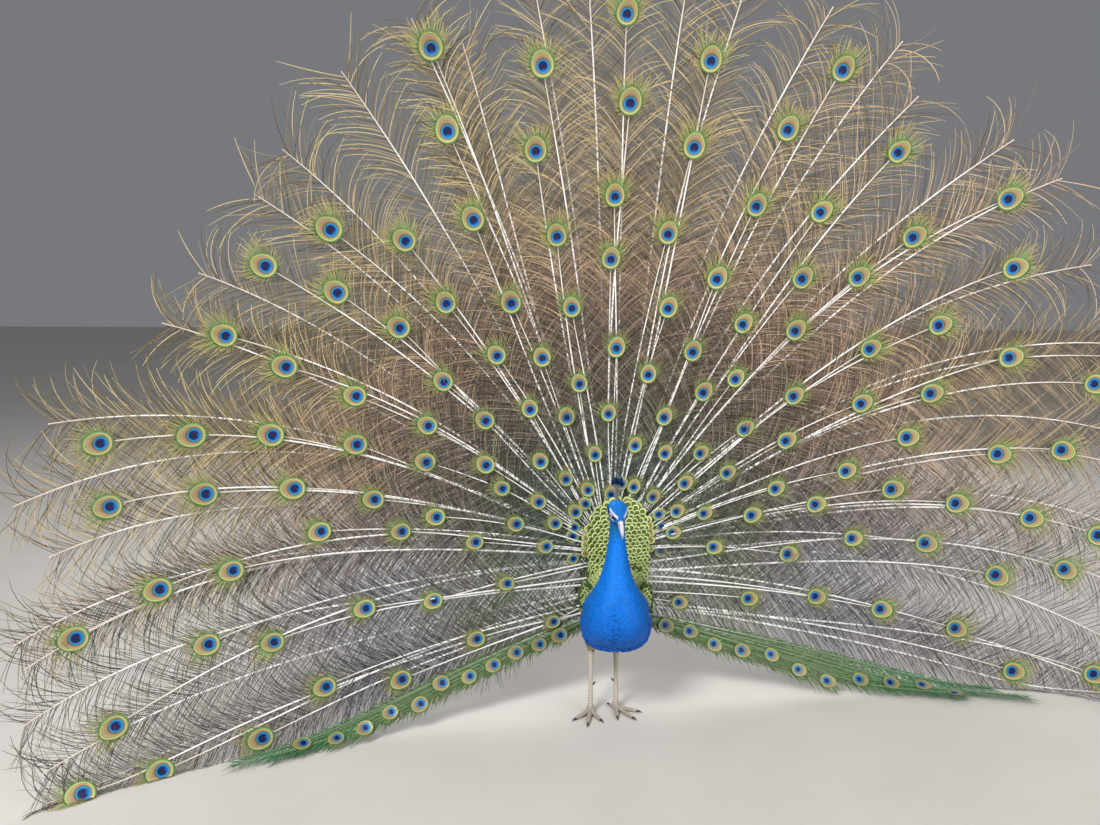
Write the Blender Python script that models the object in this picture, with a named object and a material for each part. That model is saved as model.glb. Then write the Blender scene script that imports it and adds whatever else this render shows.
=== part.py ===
"""Life-size Indian peacock with its train raised in a full fan, as a museum stands it.

Run with: blender --background --python part.py
Units are metres. The bird looks along -Y, +Z is up and the soles rest on z = 0.
The body is cut where a person would name its parts. The train is a sheet of blades,
each one a bundle of long covert feathers, that all grow from the train base.
"""
import bpy
import bmesh
import numpy as np
from math import cos, pi, radians, sin
from mathutils import Matrix, Vector

GAP = 0.0004                      # clear space between neighbouring solids
BODY_CLEAR = 0.0024               # the same where a part lies along the curved body

# ---- train -------------------------------------------------------------------------------
TRAIN_ROOT = (0.012, 0.120, 0.428)   # where the lines of the upper feathers meet
TRAIN_YAW = 15.5                  # the fan is turned a little against the body, degrees
TRAIN_SPREAD = 104.0              # angle of the lowest feathers from upright, degrees
TRAIN_TILT = 0.078                # forward lean of a feather at its root, as a slope
TRAIN_CURL = 0.293                # extra forward slope at a feather's tip
SIDE_CURL = 0.30                  # share that the lowest feathers curl more
CURL_POWER = 1.32
DROOP = 38.0                      # how far the side feathers hang over at the tip, degrees
DROOP_POWER = 2.06
DROOP_PEAK = 1.64
FEATHER_LENGTH = 1.45
LOW_START = 82.0                  # feathers past this angle grow lower down the rump
LOW_DROP = 0.160
FLOOR_CLEAR = 0.010               # the lowest feathers sweep along just over the floor
FLOOR_SOFT = 0.014

BLADES = 20
BLADE_START = 0.070
BLADE_GAP = 0.0024
EDGE_SIGN = {0.0: 1, 1.0: -1}     # which way a blade's edge columns are moved in
BLADE_THICK = 0.0012
BLADE_RIB = 0.0030                # each feather's middle stands this far forward
EYE_REACH = 1.490                 # tip of an outer eyed feather
FORK_REACH = 1.590                # tip of the fork-ended feathers between them
NOTCH_REACH = 1.330
EDGE_SPREAD = 118.0               # the short feathers under the train reach down to here
EDGE_CURL = 0.60                  # and they sweep forward over the floor
SHORT_ANGLE = -42.0               # around this angle the train is a little shorter
SHORT_WIDTH = 13.0
SHORT_SHARE = 0.13

BASE_FRONT = 0.030                # the train base reaches this far in front of the train

TAIL_FEATHERS = 20
TAIL_SPREAD = 84.0
TAIL_LENGTH = 0.430
TAIL_BEHIND = 0.0425              # the stiff tail stands this far behind the train

# ---- body --------------------------------------------------------------------------------
WING_FRONT = -0.032
WING_LONG = 0.100
WING_THICK = 0.0125
WING_SINK = 0.0080                # the wing's middle lies this far inside the flank
BODY_X = 0.030                    # the trunk leans over to one side of the feet
HEAD_X = 0.031
SIDES = 18                        # corners of one ring of the body

# One ring of the body per line, from the rump forward and up the neck:
# y, z, pitch of the axis (0 looks forward, 90 up), half width, depth below and above.
BODY_RINGS = (
    (0.122, 0.392, -25, 0.036, 0.040, 0.026),
    (0.085, 0.366, -22, 0.062, 0.070, 0.042),
    (0.045, 0.336, -12, 0.079, 0.092, 0.056),
    (0.000, 0.318, 8, 0.0875, 0.106, 0.066),
    (-0.040, 0.318, 30, 0.0880, 0.115, 0.064),
    (-0.068, 0.336, 52, 0.0820, 0.106, 0.058),
    (-0.085, 0.366, 68, 0.0650, 0.082, 0.050),
    (-0.094, 0.405, 78, 0.0460, 0.060, 0.041),
    (-0.099, 0.445, 83, 0.0340, 0.043, 0.033),
    (-0.104, 0.485, 84, 0.0262, 0.032, 0.026),
    (-0.109, 0.525, 82, 0.0205, 0.025, 0.021),
    (-0.117, 0.562, 76, 0.0190, 0.022, 0.020),
    (-0.128, 0.596, 66, 0.0195, 0.022, 0.019),
)
BREAST_SQUARE = 0.30              # how square the underside of the breast and belly is
RUMP_END = 1.2                    # cuts between the named parts, counted in rings
TRUNK_END = 4.35
BREAST_END = 6.9
NECK_MIDDLE = 9.2

HEAD_CENTRE = (HEAD_X, -0.146, 0.603)
HEAD_PITCH = 50.0                 # the bill points down by this much
HEAD_YAW = 20.0                   # and to the bird's left
# along the head's axis from nape to face: place, half width, half height
HEAD_RINGS = (
    (-0.0320, 0.0060, 0.0060),
    (-0.0280, 0.0145, 0.0140),
    (-0.0180, 0.0225, 0.0205),
    (-0.0040, 0.0258, 0.0228),
    (0.0090, 0.0240, 0.0210),
    (0.0190, 0.0188, 0.0170),
    (0.0270, 0.0125, 0.0125),
    (0.0315, 0.0080, 0.0090),
)
BILL_LENGTH = 0.040
EYE_RADIUS = 0.0058
EYE_PLACE = (0.0095, 0.0205, 0.0045)   # along the axis, out to the side, up

CREST_HEIGHT = 0.074
CREST_WIDTH = 0.052
CREST_THICK = 0.0016
CREST_TIPS = 8

# ---- legs --------------------------------------------------------------------------------
# side (-1 is the bird's right), foot joint x, y, turn of the foot outward in degrees
LEGS = (("right", -0.037, -0.012, 4.0), ("left", 0.033, 0.016, 38.0))
HOCK_BACK = 0.042                 # the hock stands this far behind the foot
HOCK_Z = 0.172
JOINT_Z = 0.020
TOES = (("inner", -34.0, 0.058), ("middle", 0.0, 0.076), ("outer", 36.0, 0.060))
TOE_RADIUS = 0.0062
TOE_FLAT = 0.82                   # the toes are cut flat below this share of their radius
TOE_RISE = 0.010
HIND_TOE = 0.028
CLAW_LENGTH = 0.015


# ---- small tools -------------------------------------------------------------------------
def clear_scene():
    for item in list(bpy.data.objects):
        bpy.data.objects.remove(item, do_unlink=True)


def material(name, colour, roughness=0.7, metallic=0.0):
    made = bpy.data.materials.new(name)
    made.use_nodes = True
    shader = made.node_tree.nodes["Principled BSDF"]
    shader.inputs["Base Color"].default_value = (*colour, 1.0)
    shader.inputs["Roughness"].default_value = roughness
    shader.inputs["Metallic"].default_value = metallic
    made.diffuse_color = (*colour, 1.0)
    return made


def add_object(name, points, faces, look=None, smooth=True):
    """A mesh object from points and faces, with its faces turned outward."""
    mesh = bpy.data.meshes.new(name)
    mesh.from_pydata([tuple(map(float, p)) for p in points], [], faces)
    shape = bmesh.new()
    shape.from_mesh(mesh)
    bmesh.ops.recalc_face_normals(shape, faces=shape.faces)
    shape.to_mesh(mesh)
    shape.free()
    item = bpy.data.objects.new(name, mesh)
    bpy.context.scene.collection.objects.link(item)
    if look is not None:
        mesh.materials.append(look)
    if smooth:
        mesh.shade_smooth()
        mesh.set_sharp_from_angle(angle=radians(50))
    return item


def loft(rings):
    """Points and faces of a closed body through equal rings, capped with a fan at each end."""
    count = len(rings[0])
    points = [p for ring in rings for p in ring]
    faces = []
    for row in range(len(rings) - 1):
        for i in range(count):
            j = (i + 1) % count
            low = row * count
            faces.append((low + i, low + j, low + count + j, low + count + i))
    for row in (0, len(rings) - 1):
        middle = len(points)
        points.append(np.mean(rings[row], axis=0))
        for i in range(count):
            faces.append((row * count + i, row * count + (i + 1) % count, middle))
    return points, faces


def cut_away(item, cutters):
    """Take the cutters out of an object with exact Booleans, then remove them."""
    for cutter in cutters:
        step = item.modifiers.new("cut", "BOOLEAN")
        step.operation = "DIFFERENCE"
        step.object = cutter
        apply_modifiers(item)
        bpy.data.objects.remove(cutter, do_unlink=True)


def join_solids(item, others):
    """Unite other closed solids with this one."""
    for other in others:
        step = item.modifiers.new("join", "BOOLEAN")
        step.operation = "UNION"
        step.object = other
    apply_modifiers(item)
    for other in others:
        bpy.data.objects.remove(other, do_unlink=True)


def apply_modifiers(item):
    graph = bpy.context.evaluated_depsgraph_get()
    mesh = bpy.data.meshes.new_from_object(item.evaluated_get(graph))
    item.modifiers.clear()
    old = item.data
    item.data = mesh
    bpy.data.meshes.remove(old)
    mesh.name = item.name


def tube(path, radii, sides=8):
    """Rings along a path, square to it, with one radius for each point."""
    path = [Vector(p) for p in path]
    rings = []
    side = Vector((1, 0, 0))
    for i, point in enumerate(path):
        ahead = path[min(i + 1, len(path) - 1)] - path[max(i - 1, 0)]
        ahead.normalize()
        side = (side - ahead * side.dot(ahead)).normalized()
        up = ahead.cross(side)
        ring = []
        for k in range(sides):
            turn = 2 * pi * k / sides
            ring.append(point + (side * cos(turn) + up * sin(turn)) * radii[i])
        rings.append([tuple(p) for p in ring])
    return loft(rings)


# ---- train surface -----------------------------------------------------------------------
def soft_step(share):
    share = min(max(share, 0.0), 1.0)
    return share * share * (3 - 2 * share)


def raw_line(angle, reaches):
    """One feather's points in the fan's own frame, at these lengths along it."""
    steps = np.linspace(0.0, 1.65, 67)
    middle = (steps[1:] + steps[:-1]) / 2 / FEATHER_LENGTH
    lean_out = abs(angle)
    droop = DROOP * sin(pi * min(lean_out / 105.0, 1.0) ** DROOP_PEAK)
    turn = np.radians(np.sign(angle) * (lean_out + droop * middle ** DROOP_POWER))
    curl = TRAIN_CURL * (1 + SIDE_CURL * (1 - cos(radians(lean_out))) / 2)
    slope = TRAIN_TILT + curl * middle ** CURL_POWER
    low = max(0.0, (lean_out - TRAIN_SPREAD) / (EDGE_SPREAD - TRAIN_SPREAD))
    slope = slope + EDGE_CURL * low * middle
    way = np.stack([np.sin(turn), -slope, np.cos(turn)], axis=1)
    way /= np.linalg.norm(way, axis=1)[:, None]
    start = LOW_DROP * soft_step((lean_out - LOW_START) / (TRAIN_SPREAD - LOW_START))
    line = np.zeros((len(steps), 3))
    line[1:] = np.cumsum(way * (steps[1] - steps[0]), axis=0)
    line[:, 2] -= start
    at = [np.interp(reaches, steps, line[:, k]) for k in range(3)]
    return np.stack(at, axis=-1)


def feather_line(angle, reaches):
    """Points of the feather that leaves the rump at this angle, at these lengths along it."""
    return to_part(raw_line(angle, reaches))


def floor_reach(angle):
    """How far along a low feather its line meets the floor."""
    reaches = np.linspace(0.3, 1.3, 101)
    heights = raw_line(angle, reaches)[:, 2] + TRAIN_ROOT[2]
    return float(np.interp(-FLOOR_CLEAR - 0.008, -heights, reaches))


def to_part(points):
    """From the fan's own frame, with its root at zero, to the part's frame."""
    points = np.asarray(points, float)
    turn = radians(TRAIN_YAW)
    moved = np.empty_like(points)
    moved[..., 0] = points[..., 0] * cos(turn) - points[..., 1] * sin(turn) + TRAIN_ROOT[0]
    moved[..., 1] = points[..., 0] * sin(turn) + points[..., 1] * cos(turn) + TRAIN_ROOT[1]
    height = points[..., 2] + TRAIN_ROOT[2] - FLOOR_CLEAR
    moved[..., 2] = FLOOR_CLEAR + FLOOR_SOFT * np.logaddexp(0.0, height / FLOOR_SOFT)
    return moved


def sheet(name, grid, thick, look):
    """A closed thin plate around a grid of points: rows outward, columns across."""
    grid = np.asarray(grid)
    along = np.gradient(grid, axis=0)
    across = np.gradient(grid, axis=1)
    normal = np.cross(along, across)
    normal /= np.linalg.norm(normal, axis=2)[:, :, None]
    rows, columns = grid.shape[:2]
    front = (grid + normal * thick / 2).reshape(-1, 3)
    back = (grid - normal * thick / 2).reshape(-1, 3)
    half = rows * columns
    faces = []
    for r in range(rows - 1):
        for c in range(columns - 1):
            a = r * columns + c
            far = a + columns + 1
            for corners in ((a, a + 1, far), (a, far, far - 1)):
                faces.append(corners)
                faces.append(tuple(half + k for k in reversed(corners)))
    rim = [c for c in range(columns)]
    rim += [r * columns + columns - 1 for r in range(1, rows)]
    rim += [(rows - 1) * columns + c for c in range(columns - 2, -1, -1)]
    rim += [r * columns for r in range(rows - 2, 0, -1)]
    for i, a in enumerate(rim):
        b = rim[(i + 1) % len(rim)]
        faces.append((a, b, half + b, half + a))
    return add_object(name, np.concatenate([front, back]), faces, look)


def lobe(share, notch, peak):
    """Reach of a feather's rounded end, from its edge (0) over its middle to its edge (1)."""
    return notch + (peak - notch) * sin(pi * share) ** 0.6


# ---- train -------------------------------------------------------------------------------
def blade_sheet(name, first, pitch, ends, look):
    """A blade over a range of feather angles, with one reach for each of its columns."""
    rows = np.array([0.0, 0.11, 0.27, 0.46, 0.65, 0.84, 1.0])
    lines = []
    for column, end in enumerate(ends):
        share = column / (len(ends) - 1)
        points = []
        for reach in BLADE_START + rows * (end - BLADE_START):
            inset = np.degrees(BLADE_GAP / 2 / reach) * EDGE_SIGN.get(share, 0)
            point = feather_line(first + pitch * share + inset, [reach])[0]
            point[1] -= BLADE_RIB * (column % 2) * (0.4 + 0.6 * reach)
            points.append(point)
        lines.append(points)
    grid = np.array(lines).transpose(1, 0, 2)
    return sheet(name, grid, BLADE_THICK, look)


def make_blade(number, look):
    """One bundle of the train: an eyed end beside a forked, longer end."""
    pitch = 2 * TRAIN_SPREAD / BLADES
    first = -TRAIN_SPREAD + number * pitch
    middle = first + pitch / 2
    short = 1 - SHORT_SHARE * np.exp(-((middle - SHORT_ANGLE) / SHORT_WIDTH) ** 2)
    ends = []
    for column in range(7):
        share = column / 6
        order = 1 - share if number >= BLADES // 2 else share
        if order <= 0.5:
            end = lobe(order * 2, NOTCH_REACH, FORK_REACH)
        else:
            end = lobe(order * 2 - 1, NOTCH_REACH, EYE_REACH)
        ends.append(end * short)
    return blade_sheet(f"train_{number + 2:02d}", first, pitch, ends, look)


def make_edge_blade(sign, look):
    """The short curved feathers under the train, which end where they meet the floor."""
    name = "train_22" if sign > 0 else "train_01"
    first = TRAIN_SPREAD if sign > 0 else -EDGE_SPREAD
    pitch = EDGE_SPREAD - TRAIN_SPREAD
    angles = [first + pitch * column / 4 for column in range(5)]
    return blade_sheet(name, first, pitch, [floor_reach(a) for a in angles], look)


def base_outline(reach, count):
    """The closed outline of the train's root, in the fan's own x and z."""
    corners = []
    for angle in np.linspace(-TRAIN_SPREAD, TRAIN_SPREAD, count):
        drop = LOW_DROP * soft_step((abs(angle) - LOW_START) / (TRAIN_SPREAD - LOW_START))
        corners.append((reach * sin(radians(angle)), reach * cos(radians(angle)) - drop))
    low = corners[0][1] - 0.030
    corners.append((reach * 0.55, low))
    corners.append((-reach * 0.55, low))
    return corners


def base_rings(grow):
    """Rings of the train's root from its front face to its rounded back."""
    outline = np.array(base_outline(BLADE_START - 2 * GAP, 15))
    middle = outline.mean(axis=0)
    rings = []
    for depth, size in ((-BASE_FRONT, 0.80), (-0.022, 0.97), (0.0, 1.0), (0.016, 1.0),
                        (0.030, 0.93), (0.040, 0.72)):
        ring = []
        for corner in outline:
            spot = middle + (corner - middle) * (size + grow * 12)
            ring.append((spot[0], depth + (grow if depth > 0 else -grow), spot[1]))
        rings.append([tuple(p) for p in to_part(ring)])
    return rings


def make_train_base(look, grow=0.0, name="train_base"):
    return add_object(name, *loft(base_rings(grow)), look)


def make_tail(look):
    """The stiff tail feathers that stand up behind the train and hold it."""
    columns = 2 * TAIL_FEATHERS + 1
    rows = (0.12, 0.55, 1.0)
    grid = []
    for row in rows:
        line = []
        for c in range(columns):
            angle = radians(-TAIL_SPREAD + 2 * TAIL_SPREAD * c / (columns - 1))
            end = TAIL_LENGTH * (1.0 if c % 2 else 0.955)
            reach = end * row
            slope = 0.02 - 0.055 * row
            line.append((reach * sin(angle), TAIL_BEHIND + reach * slope, reach * cos(angle)))
        grid.append(to_part(line))
    return sheet("tail", grid, 0.0016, look)


def mantle_rings(grow=0.0):
    """Rings of the shield from its foot on the back up to its rounded top."""
    base = -0.150
    top = 0.146
    rings = []
    for share in (0.0, 0.10, 0.24, 0.40, 0.56, 0.72, 0.85, 0.94, 0.985):
        height = base + (top - base) * share
        half = 0.088 * (0.78 + 0.22 * soft_step(share / 0.5))
        if share > 0.72:
            half *= (1 - ((share - 0.72) / 0.30) ** 2.2) ** 0.5
        thick = 0.050 - 0.040 * soft_step(share / 0.9)
        back = -BASE_FRONT - 2 * GAP - TRAIN_TILT * max(height, 0.0)
        ring = []
        for k in range(12):
            turn = 2 * pi * k / 12
            out = cos(turn)
            deep = (sin(turn) - 1) / 2
            ring.append((0.016 + (half + grow) * out, back + thick * deep + grow * sin(turn),
                         height))
        rings.append([tuple(p) for p in to_part(ring)])
    return rings


def make_mantle(look):
    """The shield of scale feathers that stands up behind the neck."""
    mantle = add_object("mantle", *loft(mantle_rings()), look)
    cut_away(mantle, [body_cutter()])
    return mantle


# ---- body --------------------------------------------------------------------------------
def smooth_values(place):
    """The body's ring values at any place between the listed rings (Catmull-Rom)."""
    table = np.array(BODY_RINGS, float)
    low = int(min(max(np.floor(place), 0), len(table) - 2))
    share = place - low
    before = table[max(low - 1, 0)]
    start = table[low]
    end = table[low + 1]
    after = table[min(low + 2, len(table) - 1)]
    return 0.5 * (2 * start + (end - before) * share
                  + (2 * before - 5 * start + 4 * end - after) * share ** 2
                  + (3 * start - before - 3 * end + after) * share ** 3)


def underside(place):
    """The power that squares up the underside at a place, 1 where it is round."""
    return 1 - BREAST_SQUARE * soft_step((place - 1.0) / 1.5) * soft_step((7.5 - place) / 2.0)


def body_ring(place, grow=0.0):
    y, z, pitch, half, below, above = smooth_values(place)
    lean = radians(pitch)
    lower = Vector((0, -sin(lean), -cos(lean)))
    share = min(max((z - 0.40) / (HEAD_CENTRE[2] - 0.40), 0.0), 1.0)
    x = BODY_X + (HEAD_X - BODY_X) * share
    ring = []
    for k in range(SIDES):
        turn = 2 * pi * (k + 0.5) / SIDES
        power = underside(place) if cos(turn) > 0 else 1.0
        depth = (below if cos(turn) > 0 else above) + grow
        point = Vector((x, y, z)) + lower * depth * squared(cos(turn), power)
        point.x += (half + grow) * squared(sin(turn), power)
        ring.append(tuple(point))
    return ring


def squared(value, power):
    return abs(value) ** power * (1 if value > 0 else -1)


def body_piece(name, start, end, look, grow=0.0, step=0.5):
    """The body between two places, as a closed solid."""
    count = max(2, int(round((end - start) / step)) + 1)
    places = np.linspace(start, end, count)
    return add_object(name, *loft([body_ring(p, grow) for p in places]), look)


def body_cutter():
    """The trunk a little larger, to cut what lies against it."""
    return body_piece("cut_body", 0.0, 8.0, None, BODY_CLEAR, 0.5)


def place_gap(place):
    """Half a gap, measured in rings, at this place on the body."""
    here = smooth_values(place)
    there = smooth_values(place + 0.05)
    step = np.hypot(there[0] - here[0], there[1] - here[1]) / 0.05
    bend = abs(radians(there[2] - here[2])) / 0.05
    inner = step - bend * here[5]
    return 0.8 * GAP / max(min(step, inner), 0.01)


def make_body(looks):
    last = len(BODY_RINGS) - 1
    cuts = (0.0, RUMP_END, TRUNK_END, BREAST_END, NECK_MIDDLE, float(last))
    names = ("rump", "trunk", "breast", "neck_lower", "neck_upper")
    made = {}
    for i, name in enumerate(names):
        start = cuts[i] + (place_gap(cuts[i]) if i else 0.0)
        end = cuts[i + 1] - (place_gap(cuts[i + 1]) if i < len(names) - 1 else 0.0)
        made[name] = body_piece(name, start, end, looks[name])
    for name in ("rump", "trunk"):
        cut_away(made[name], [make_train_base(None, 2 * GAP, "cut_base")])
    cut_away(made["neck_upper"], [make_head(None, 2 * GAP, "cut_head")])
    return made


# ---- head --------------------------------------------------------------------------------
def head_frame():
    """The head's frame: x to its side, y forward along the bill, z up over the crown."""
    pose = Matrix.Rotation(radians(HEAD_YAW), 4, "Z") @ Matrix.Rotation(radians(HEAD_PITCH), 4, "X")
    half_turn = Matrix.Rotation(pi, 4, "Z")
    return Matrix.Translation(HEAD_CENTRE) @ pose @ half_turn


def in_head(points):
    frame = head_frame()
    return [tuple(frame @ Vector(p)) for p in points]


def make_head(look, grow=0.0, name="head"):
    rings = []
    for place, half, tall in HEAD_RINGS:
        ring = []
        for k in range(16):
            turn = 2 * pi * (k + 0.5) / 16
            ring.append(((half + grow) * sin(turn), place, (tall + grow) * cos(turn)))
        rings.append(in_head(ring))
    if grow:
        rings = [widen_end(rings[0], rings[1], grow)] + rings[1:]
    return add_object(name, *loft(rings), look)


def widen_end(ring, inner, grow):
    """Move an end ring outward along the body's axis by this much."""
    axis = Vector(np.mean(ring, axis=0)) - Vector(np.mean(inner, axis=0))
    axis.normalize()
    return [tuple(Vector(p) + axis * grow) for p in ring]


def make_ball(name, centre, radius, look, grow=0.0):
    shape = bmesh.new()
    bmesh.ops.create_uvsphere(shape, u_segments=10, v_segments=6, radius=radius + grow)
    bmesh.ops.translate(shape, verts=shape.verts, vec=centre)
    mesh = bpy.data.meshes.new(name)
    shape.to_mesh(mesh)
    shape.free()
    item = bpy.data.objects.new(name, mesh)
    bpy.context.scene.collection.objects.link(item)
    if look is not None:
        mesh.materials.append(look)
    mesh.shade_smooth()
    return item


def bill_rings(upper, grow=0.0):
    """Rings of one half of the bill, from the face to its tip."""
    rings = []
    face = HEAD_RINGS[-1][0]
    length = BILL_LENGTH if upper else BILL_LENGTH * 0.84
    for share in (0.0, 0.18, 0.42, 0.66, 0.86, 1.0):
        size = (1 - share ** 1.9) ** 0.8 + 0.10
        half = (0.0070 if upper else 0.0056) * size + grow
        tall = (0.0092 if upper else 0.0046) * size
        floor = -0.0075 * (length * share / BILL_LENGTH) ** 2.4
        sign = 1 if upper else -1
        ring = []
        for k in range(8):
            turn = pi * k / 7
            ring.append((half * cos(turn), face + 2 * GAP + length * share,
                         floor + sign * (GAP + tall * sin(turn) + grow)))
        rings.append(in_head(ring))
    return rings


def make_crest(look):
    """The upright fan of bare shafts with spoon-shaped tips, as one thin plate."""
    columns = 2 * CREST_TIPS + 1
    grid = []
    for row in (0.0, 0.55, 1.0):
        line = []
        for c in range(columns):
            share = c / (columns - 1) * 2 - 1
            reach = row * (1.0 - 0.12 * share ** 2) * (1.0 if c % 2 else 0.94)
            wide = 0.004 + (CREST_WIDTH / 2 - 0.004) * row ** 1.25
            line.append((0.0, share * wide, CREST_HEIGHT * reach))
        grid.append(line)
    crown = Vector(HEAD_CENTRE) + Vector((-0.002, 0.006, 0.019))
    turn = Matrix.Rotation(radians(HEAD_YAW), 4, "Z")
    grid = [[tuple(crown + turn @ Vector(p)) for p in line] for line in grid]
    crest = sheet("crest", grid, CREST_THICK, look)
    cut_away(crest, [make_head(None, 2 * GAP, "cut_crest")])
    return crest


def make_face(looks):
    head = make_head(looks["head"])
    frame = head_frame()
    along, side, up = EYE_PLACE
    for name, sign in (("eye_left", 1), ("eye_right", -1)):
        centre = frame @ Vector((-sign * side, along, up))
        make_ball(name, centre, EYE_RADIUS, looks["eye"])
        cut_away(head, [make_ball("cut_eye", centre, EYE_RADIUS, None, 2 * GAP)])
    add_object("bill_upper", *loft(bill_rings(True)), looks["bill"])
    add_object("bill_lower", *loft(bill_rings(False)), looks["bill"])
    make_crest(looks["crest"])


# ---- wings -------------------------------------------------------------------------------
def wing_rings(sign, grow=0.0):
    """Rings of the lowered wing from the shoulder back, a shallow shell on the trunk."""
    rings = []
    for share in (0.0, 0.10, 0.32, 0.62, 0.88, 1.0):
        y = WING_FRONT + WING_LONG * share
        tall = 0.060 * sin(pi * min(0.10 + share * 0.80, 1.0)) ** 0.6 + grow
        middle = 0.332 - 0.050 * share
        flank = np.interp(y, (-0.04, 0.0, 0.045, 0.085), (0.088, 0.0875, 0.079, 0.062))
        ring = []
        for k in range(10):
            turn = 2 * pi * k / 10
            out = flank - WING_SINK + (WING_THICK + grow) * cos(turn)
            ring.append((BODY_X + sign * out, y, middle + tall * sin(turn)))
        rings.append(ring)
    return rings


def make_wing(side, sign, look):
    wing = add_object(f"wing_{side}", *loft(wing_rings(sign)), look)
    cut_away(wing, [body_cutter(), add_object("cut_mantle", *loft(mantle_rings(2 * GAP)))])
    keep_largest(wing)
    return wing


def make_primaries(side, sign, look):
    """The long wing quills that hang down behind, fanned under the train's lower edge."""
    columns = 11
    grid = []
    for row in (0.0, 0.5, 1.0):
        line = []
        for c in range(columns):
            share = c / (columns - 1)
            reach = 0.190 * row * (1.0 if c % 2 else 0.93)
            turn = radians(-6 - 26 * share)
            x = BODY_X + sign * (0.046 + 0.016 * share + 0.034 * row * share)
            y = 0.052 + reach * cos(turn)
            z = 0.212 - 0.004 * share + reach * sin(turn) * 0.42
            line.append((x, y, z))
        grid.append(line)
    quills = sheet(f"primaries_{side}", grid, 0.0016, look)
    cut_away(quills, [body_cutter()])
    keep_largest(quills)
    return quills


def keep_largest(item):
    """Drop any small loose piece that a cut left over."""
    shape = bmesh.new()
    shape.from_mesh(item.data)
    left = set(shape.verts)
    groups = []
    while left:
        group = {left.pop()}
        edge = list(group)
        while edge:
            vert = edge.pop()
            for link in vert.link_edges:
                other = link.other_vert(vert)
                if other in left:
                    left.discard(other)
                    group.add(other)
                    edge.append(other)
        groups.append(group)
    groups.sort(key=len)
    for group in groups[:-1]:
        bmesh.ops.delete(shape, geom=list(group), context="VERTS")
    shape.to_mesh(item.data)
    shape.free()


# ---- legs --------------------------------------------------------------------------------
def shank_tube(x, y, grow=0.0):
    """Points and faces of the bare shank, from the hock down to the foot joint."""
    top = Vector((x, y + HOCK_BACK, HOCK_Z + grow))
    foot = Vector((x, y, JOINT_Z + 0.0075))
    shares = (0.0, 0.06, 0.16, 0.4, 0.7, 0.9, 1.0)
    radii = (0.0098, 0.0100, 0.0080, 0.0062, 0.0058, 0.0068, 0.0066)
    path = [top.lerp(foot, share) for share in shares]
    return tube(path, [radius + grow for radius in radii], 9)


def make_thigh(side, x, y, look):
    """The feathered thigh, from inside the trunk back and down to the hock."""
    hock = Vector((x, y + HOCK_BACK, HOCK_Z + 0.004))
    top = Vector((BODY_X * 0.4 + x * 1.0, y - 0.014, 0.234))
    path = [top.lerp(hock, share) for share in (0.0, 0.25, 0.5, 0.75, 0.92, 1.0)]
    radii = (0.024, 0.026, 0.023, 0.018, 0.0138, 0.0122)
    thigh = add_object(f"thigh_{side}", *tube(path, radii, 10), look)
    cut_away(thigh, [body_cutter(), add_object("cut_shank", *shank_tube(x, y, 2 * GAP))])
    keep_largest(thigh)
    return thigh


def make_tarsus(side, x, y, look):
    """The scaled shank with its spur."""
    shank = add_object(f"tarsus_{side}", *shank_tube(x, y), look)
    inward = -1 if x > 0 else 1
    root = Vector((x, y + HOCK_BACK * 0.34, JOINT_Z + 0.0075 + (HOCK_Z - JOINT_Z) * 0.32))
    steps = ((0.003, 0.001, 0.0), (0.009, 0.010, 0.0), (0.013, 0.019, 0.003))
    path = [root + Vector((inward * out, back, rise)) for out, back, rise in steps]
    spur = add_object("spur", *tube(path, (0.0040, 0.0028, 0.0007), 8))
    join_solids(shank, [spur])
    return shank


def toe_path(x, y, heading, length, radii):
    """The line of one toe over the floor, from the foot joint to the claw's root."""
    away = Vector((sin(radians(heading)), -cos(radians(heading)), 0))
    path = []
    for i, radius in enumerate(radii):
        share = i / (len(radii) - 1)
        point = Vector((x, y, 0)) + away * length * share
        point.z = radius * TOE_FLAT + TOE_RISE * (1 - share) ** 3.5
        path.append(point)
    return path, away


def make_foot(side, x, y, turn, looks):
    """Three toes ahead and a short one behind, with flats where they rest on the floor."""
    sign = 1 if side == "left" else -1
    foot = make_ball(f"foot_{side}", Vector((x, y, JOINT_Z - 0.0070)), 0.0122, looks["leg"])
    toes = []
    for name, spread, length in TOES + (("hind", 180.0, HIND_TOE),):
        size = 0.85 if name == "hind" else 1.0
        radii = [TOE_RADIUS * size * f for f in (1.10, 0.96, 0.94, 0.88, 0.70)]
        path, away = toe_path(x, y, sign * turn + sign * spread, length, radii)
        toes.append(add_object("toe", *tube(path, radii, 6)))
        tip = path[-1] + away * GAP * 2.5
        claw = [Vector((tip.x, tip.y, 0)) + away * CLAW_LENGTH * share + Vector((0, 0, height))
                for share, height in ((0.0, 0.0036), (0.5, 0.0044), (1.0, 0.0014))]
        add_object(f"claw_{side}_{name}", *tube(claw, (0.0032, 0.0024, 0.0006), 6), looks["claw"])
    join_solids(foot, toes)
    floor = add_object("floor", *box_mesh((x, y, -0.05), (0.4, 0.4, 0.10)), smooth=False)
    socket = [Vector((x, y, JOINT_Z + 0.0070)), Vector((x, y, 0.08))]
    cut_away(foot, [floor, add_object("socket", *tube(socket, (0.0145, 0.0145), 12))])
    return foot


def box_mesh(centre, size):
    corners = []
    for a in (-0.5, 0.5):
        for b in (-0.5, 0.5):
            for c in (-0.5, 0.5):
                corners.append((centre[0] + a * size[0], centre[1] + b * size[1],
                                centre[2] + c * size[2]))
    faces = [(0, 1, 3, 2), (4, 6, 7, 5), (0, 4, 5, 1), (2, 3, 7, 6), (0, 2, 6, 4), (1, 5, 7, 3)]
    return corners, faces


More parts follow.
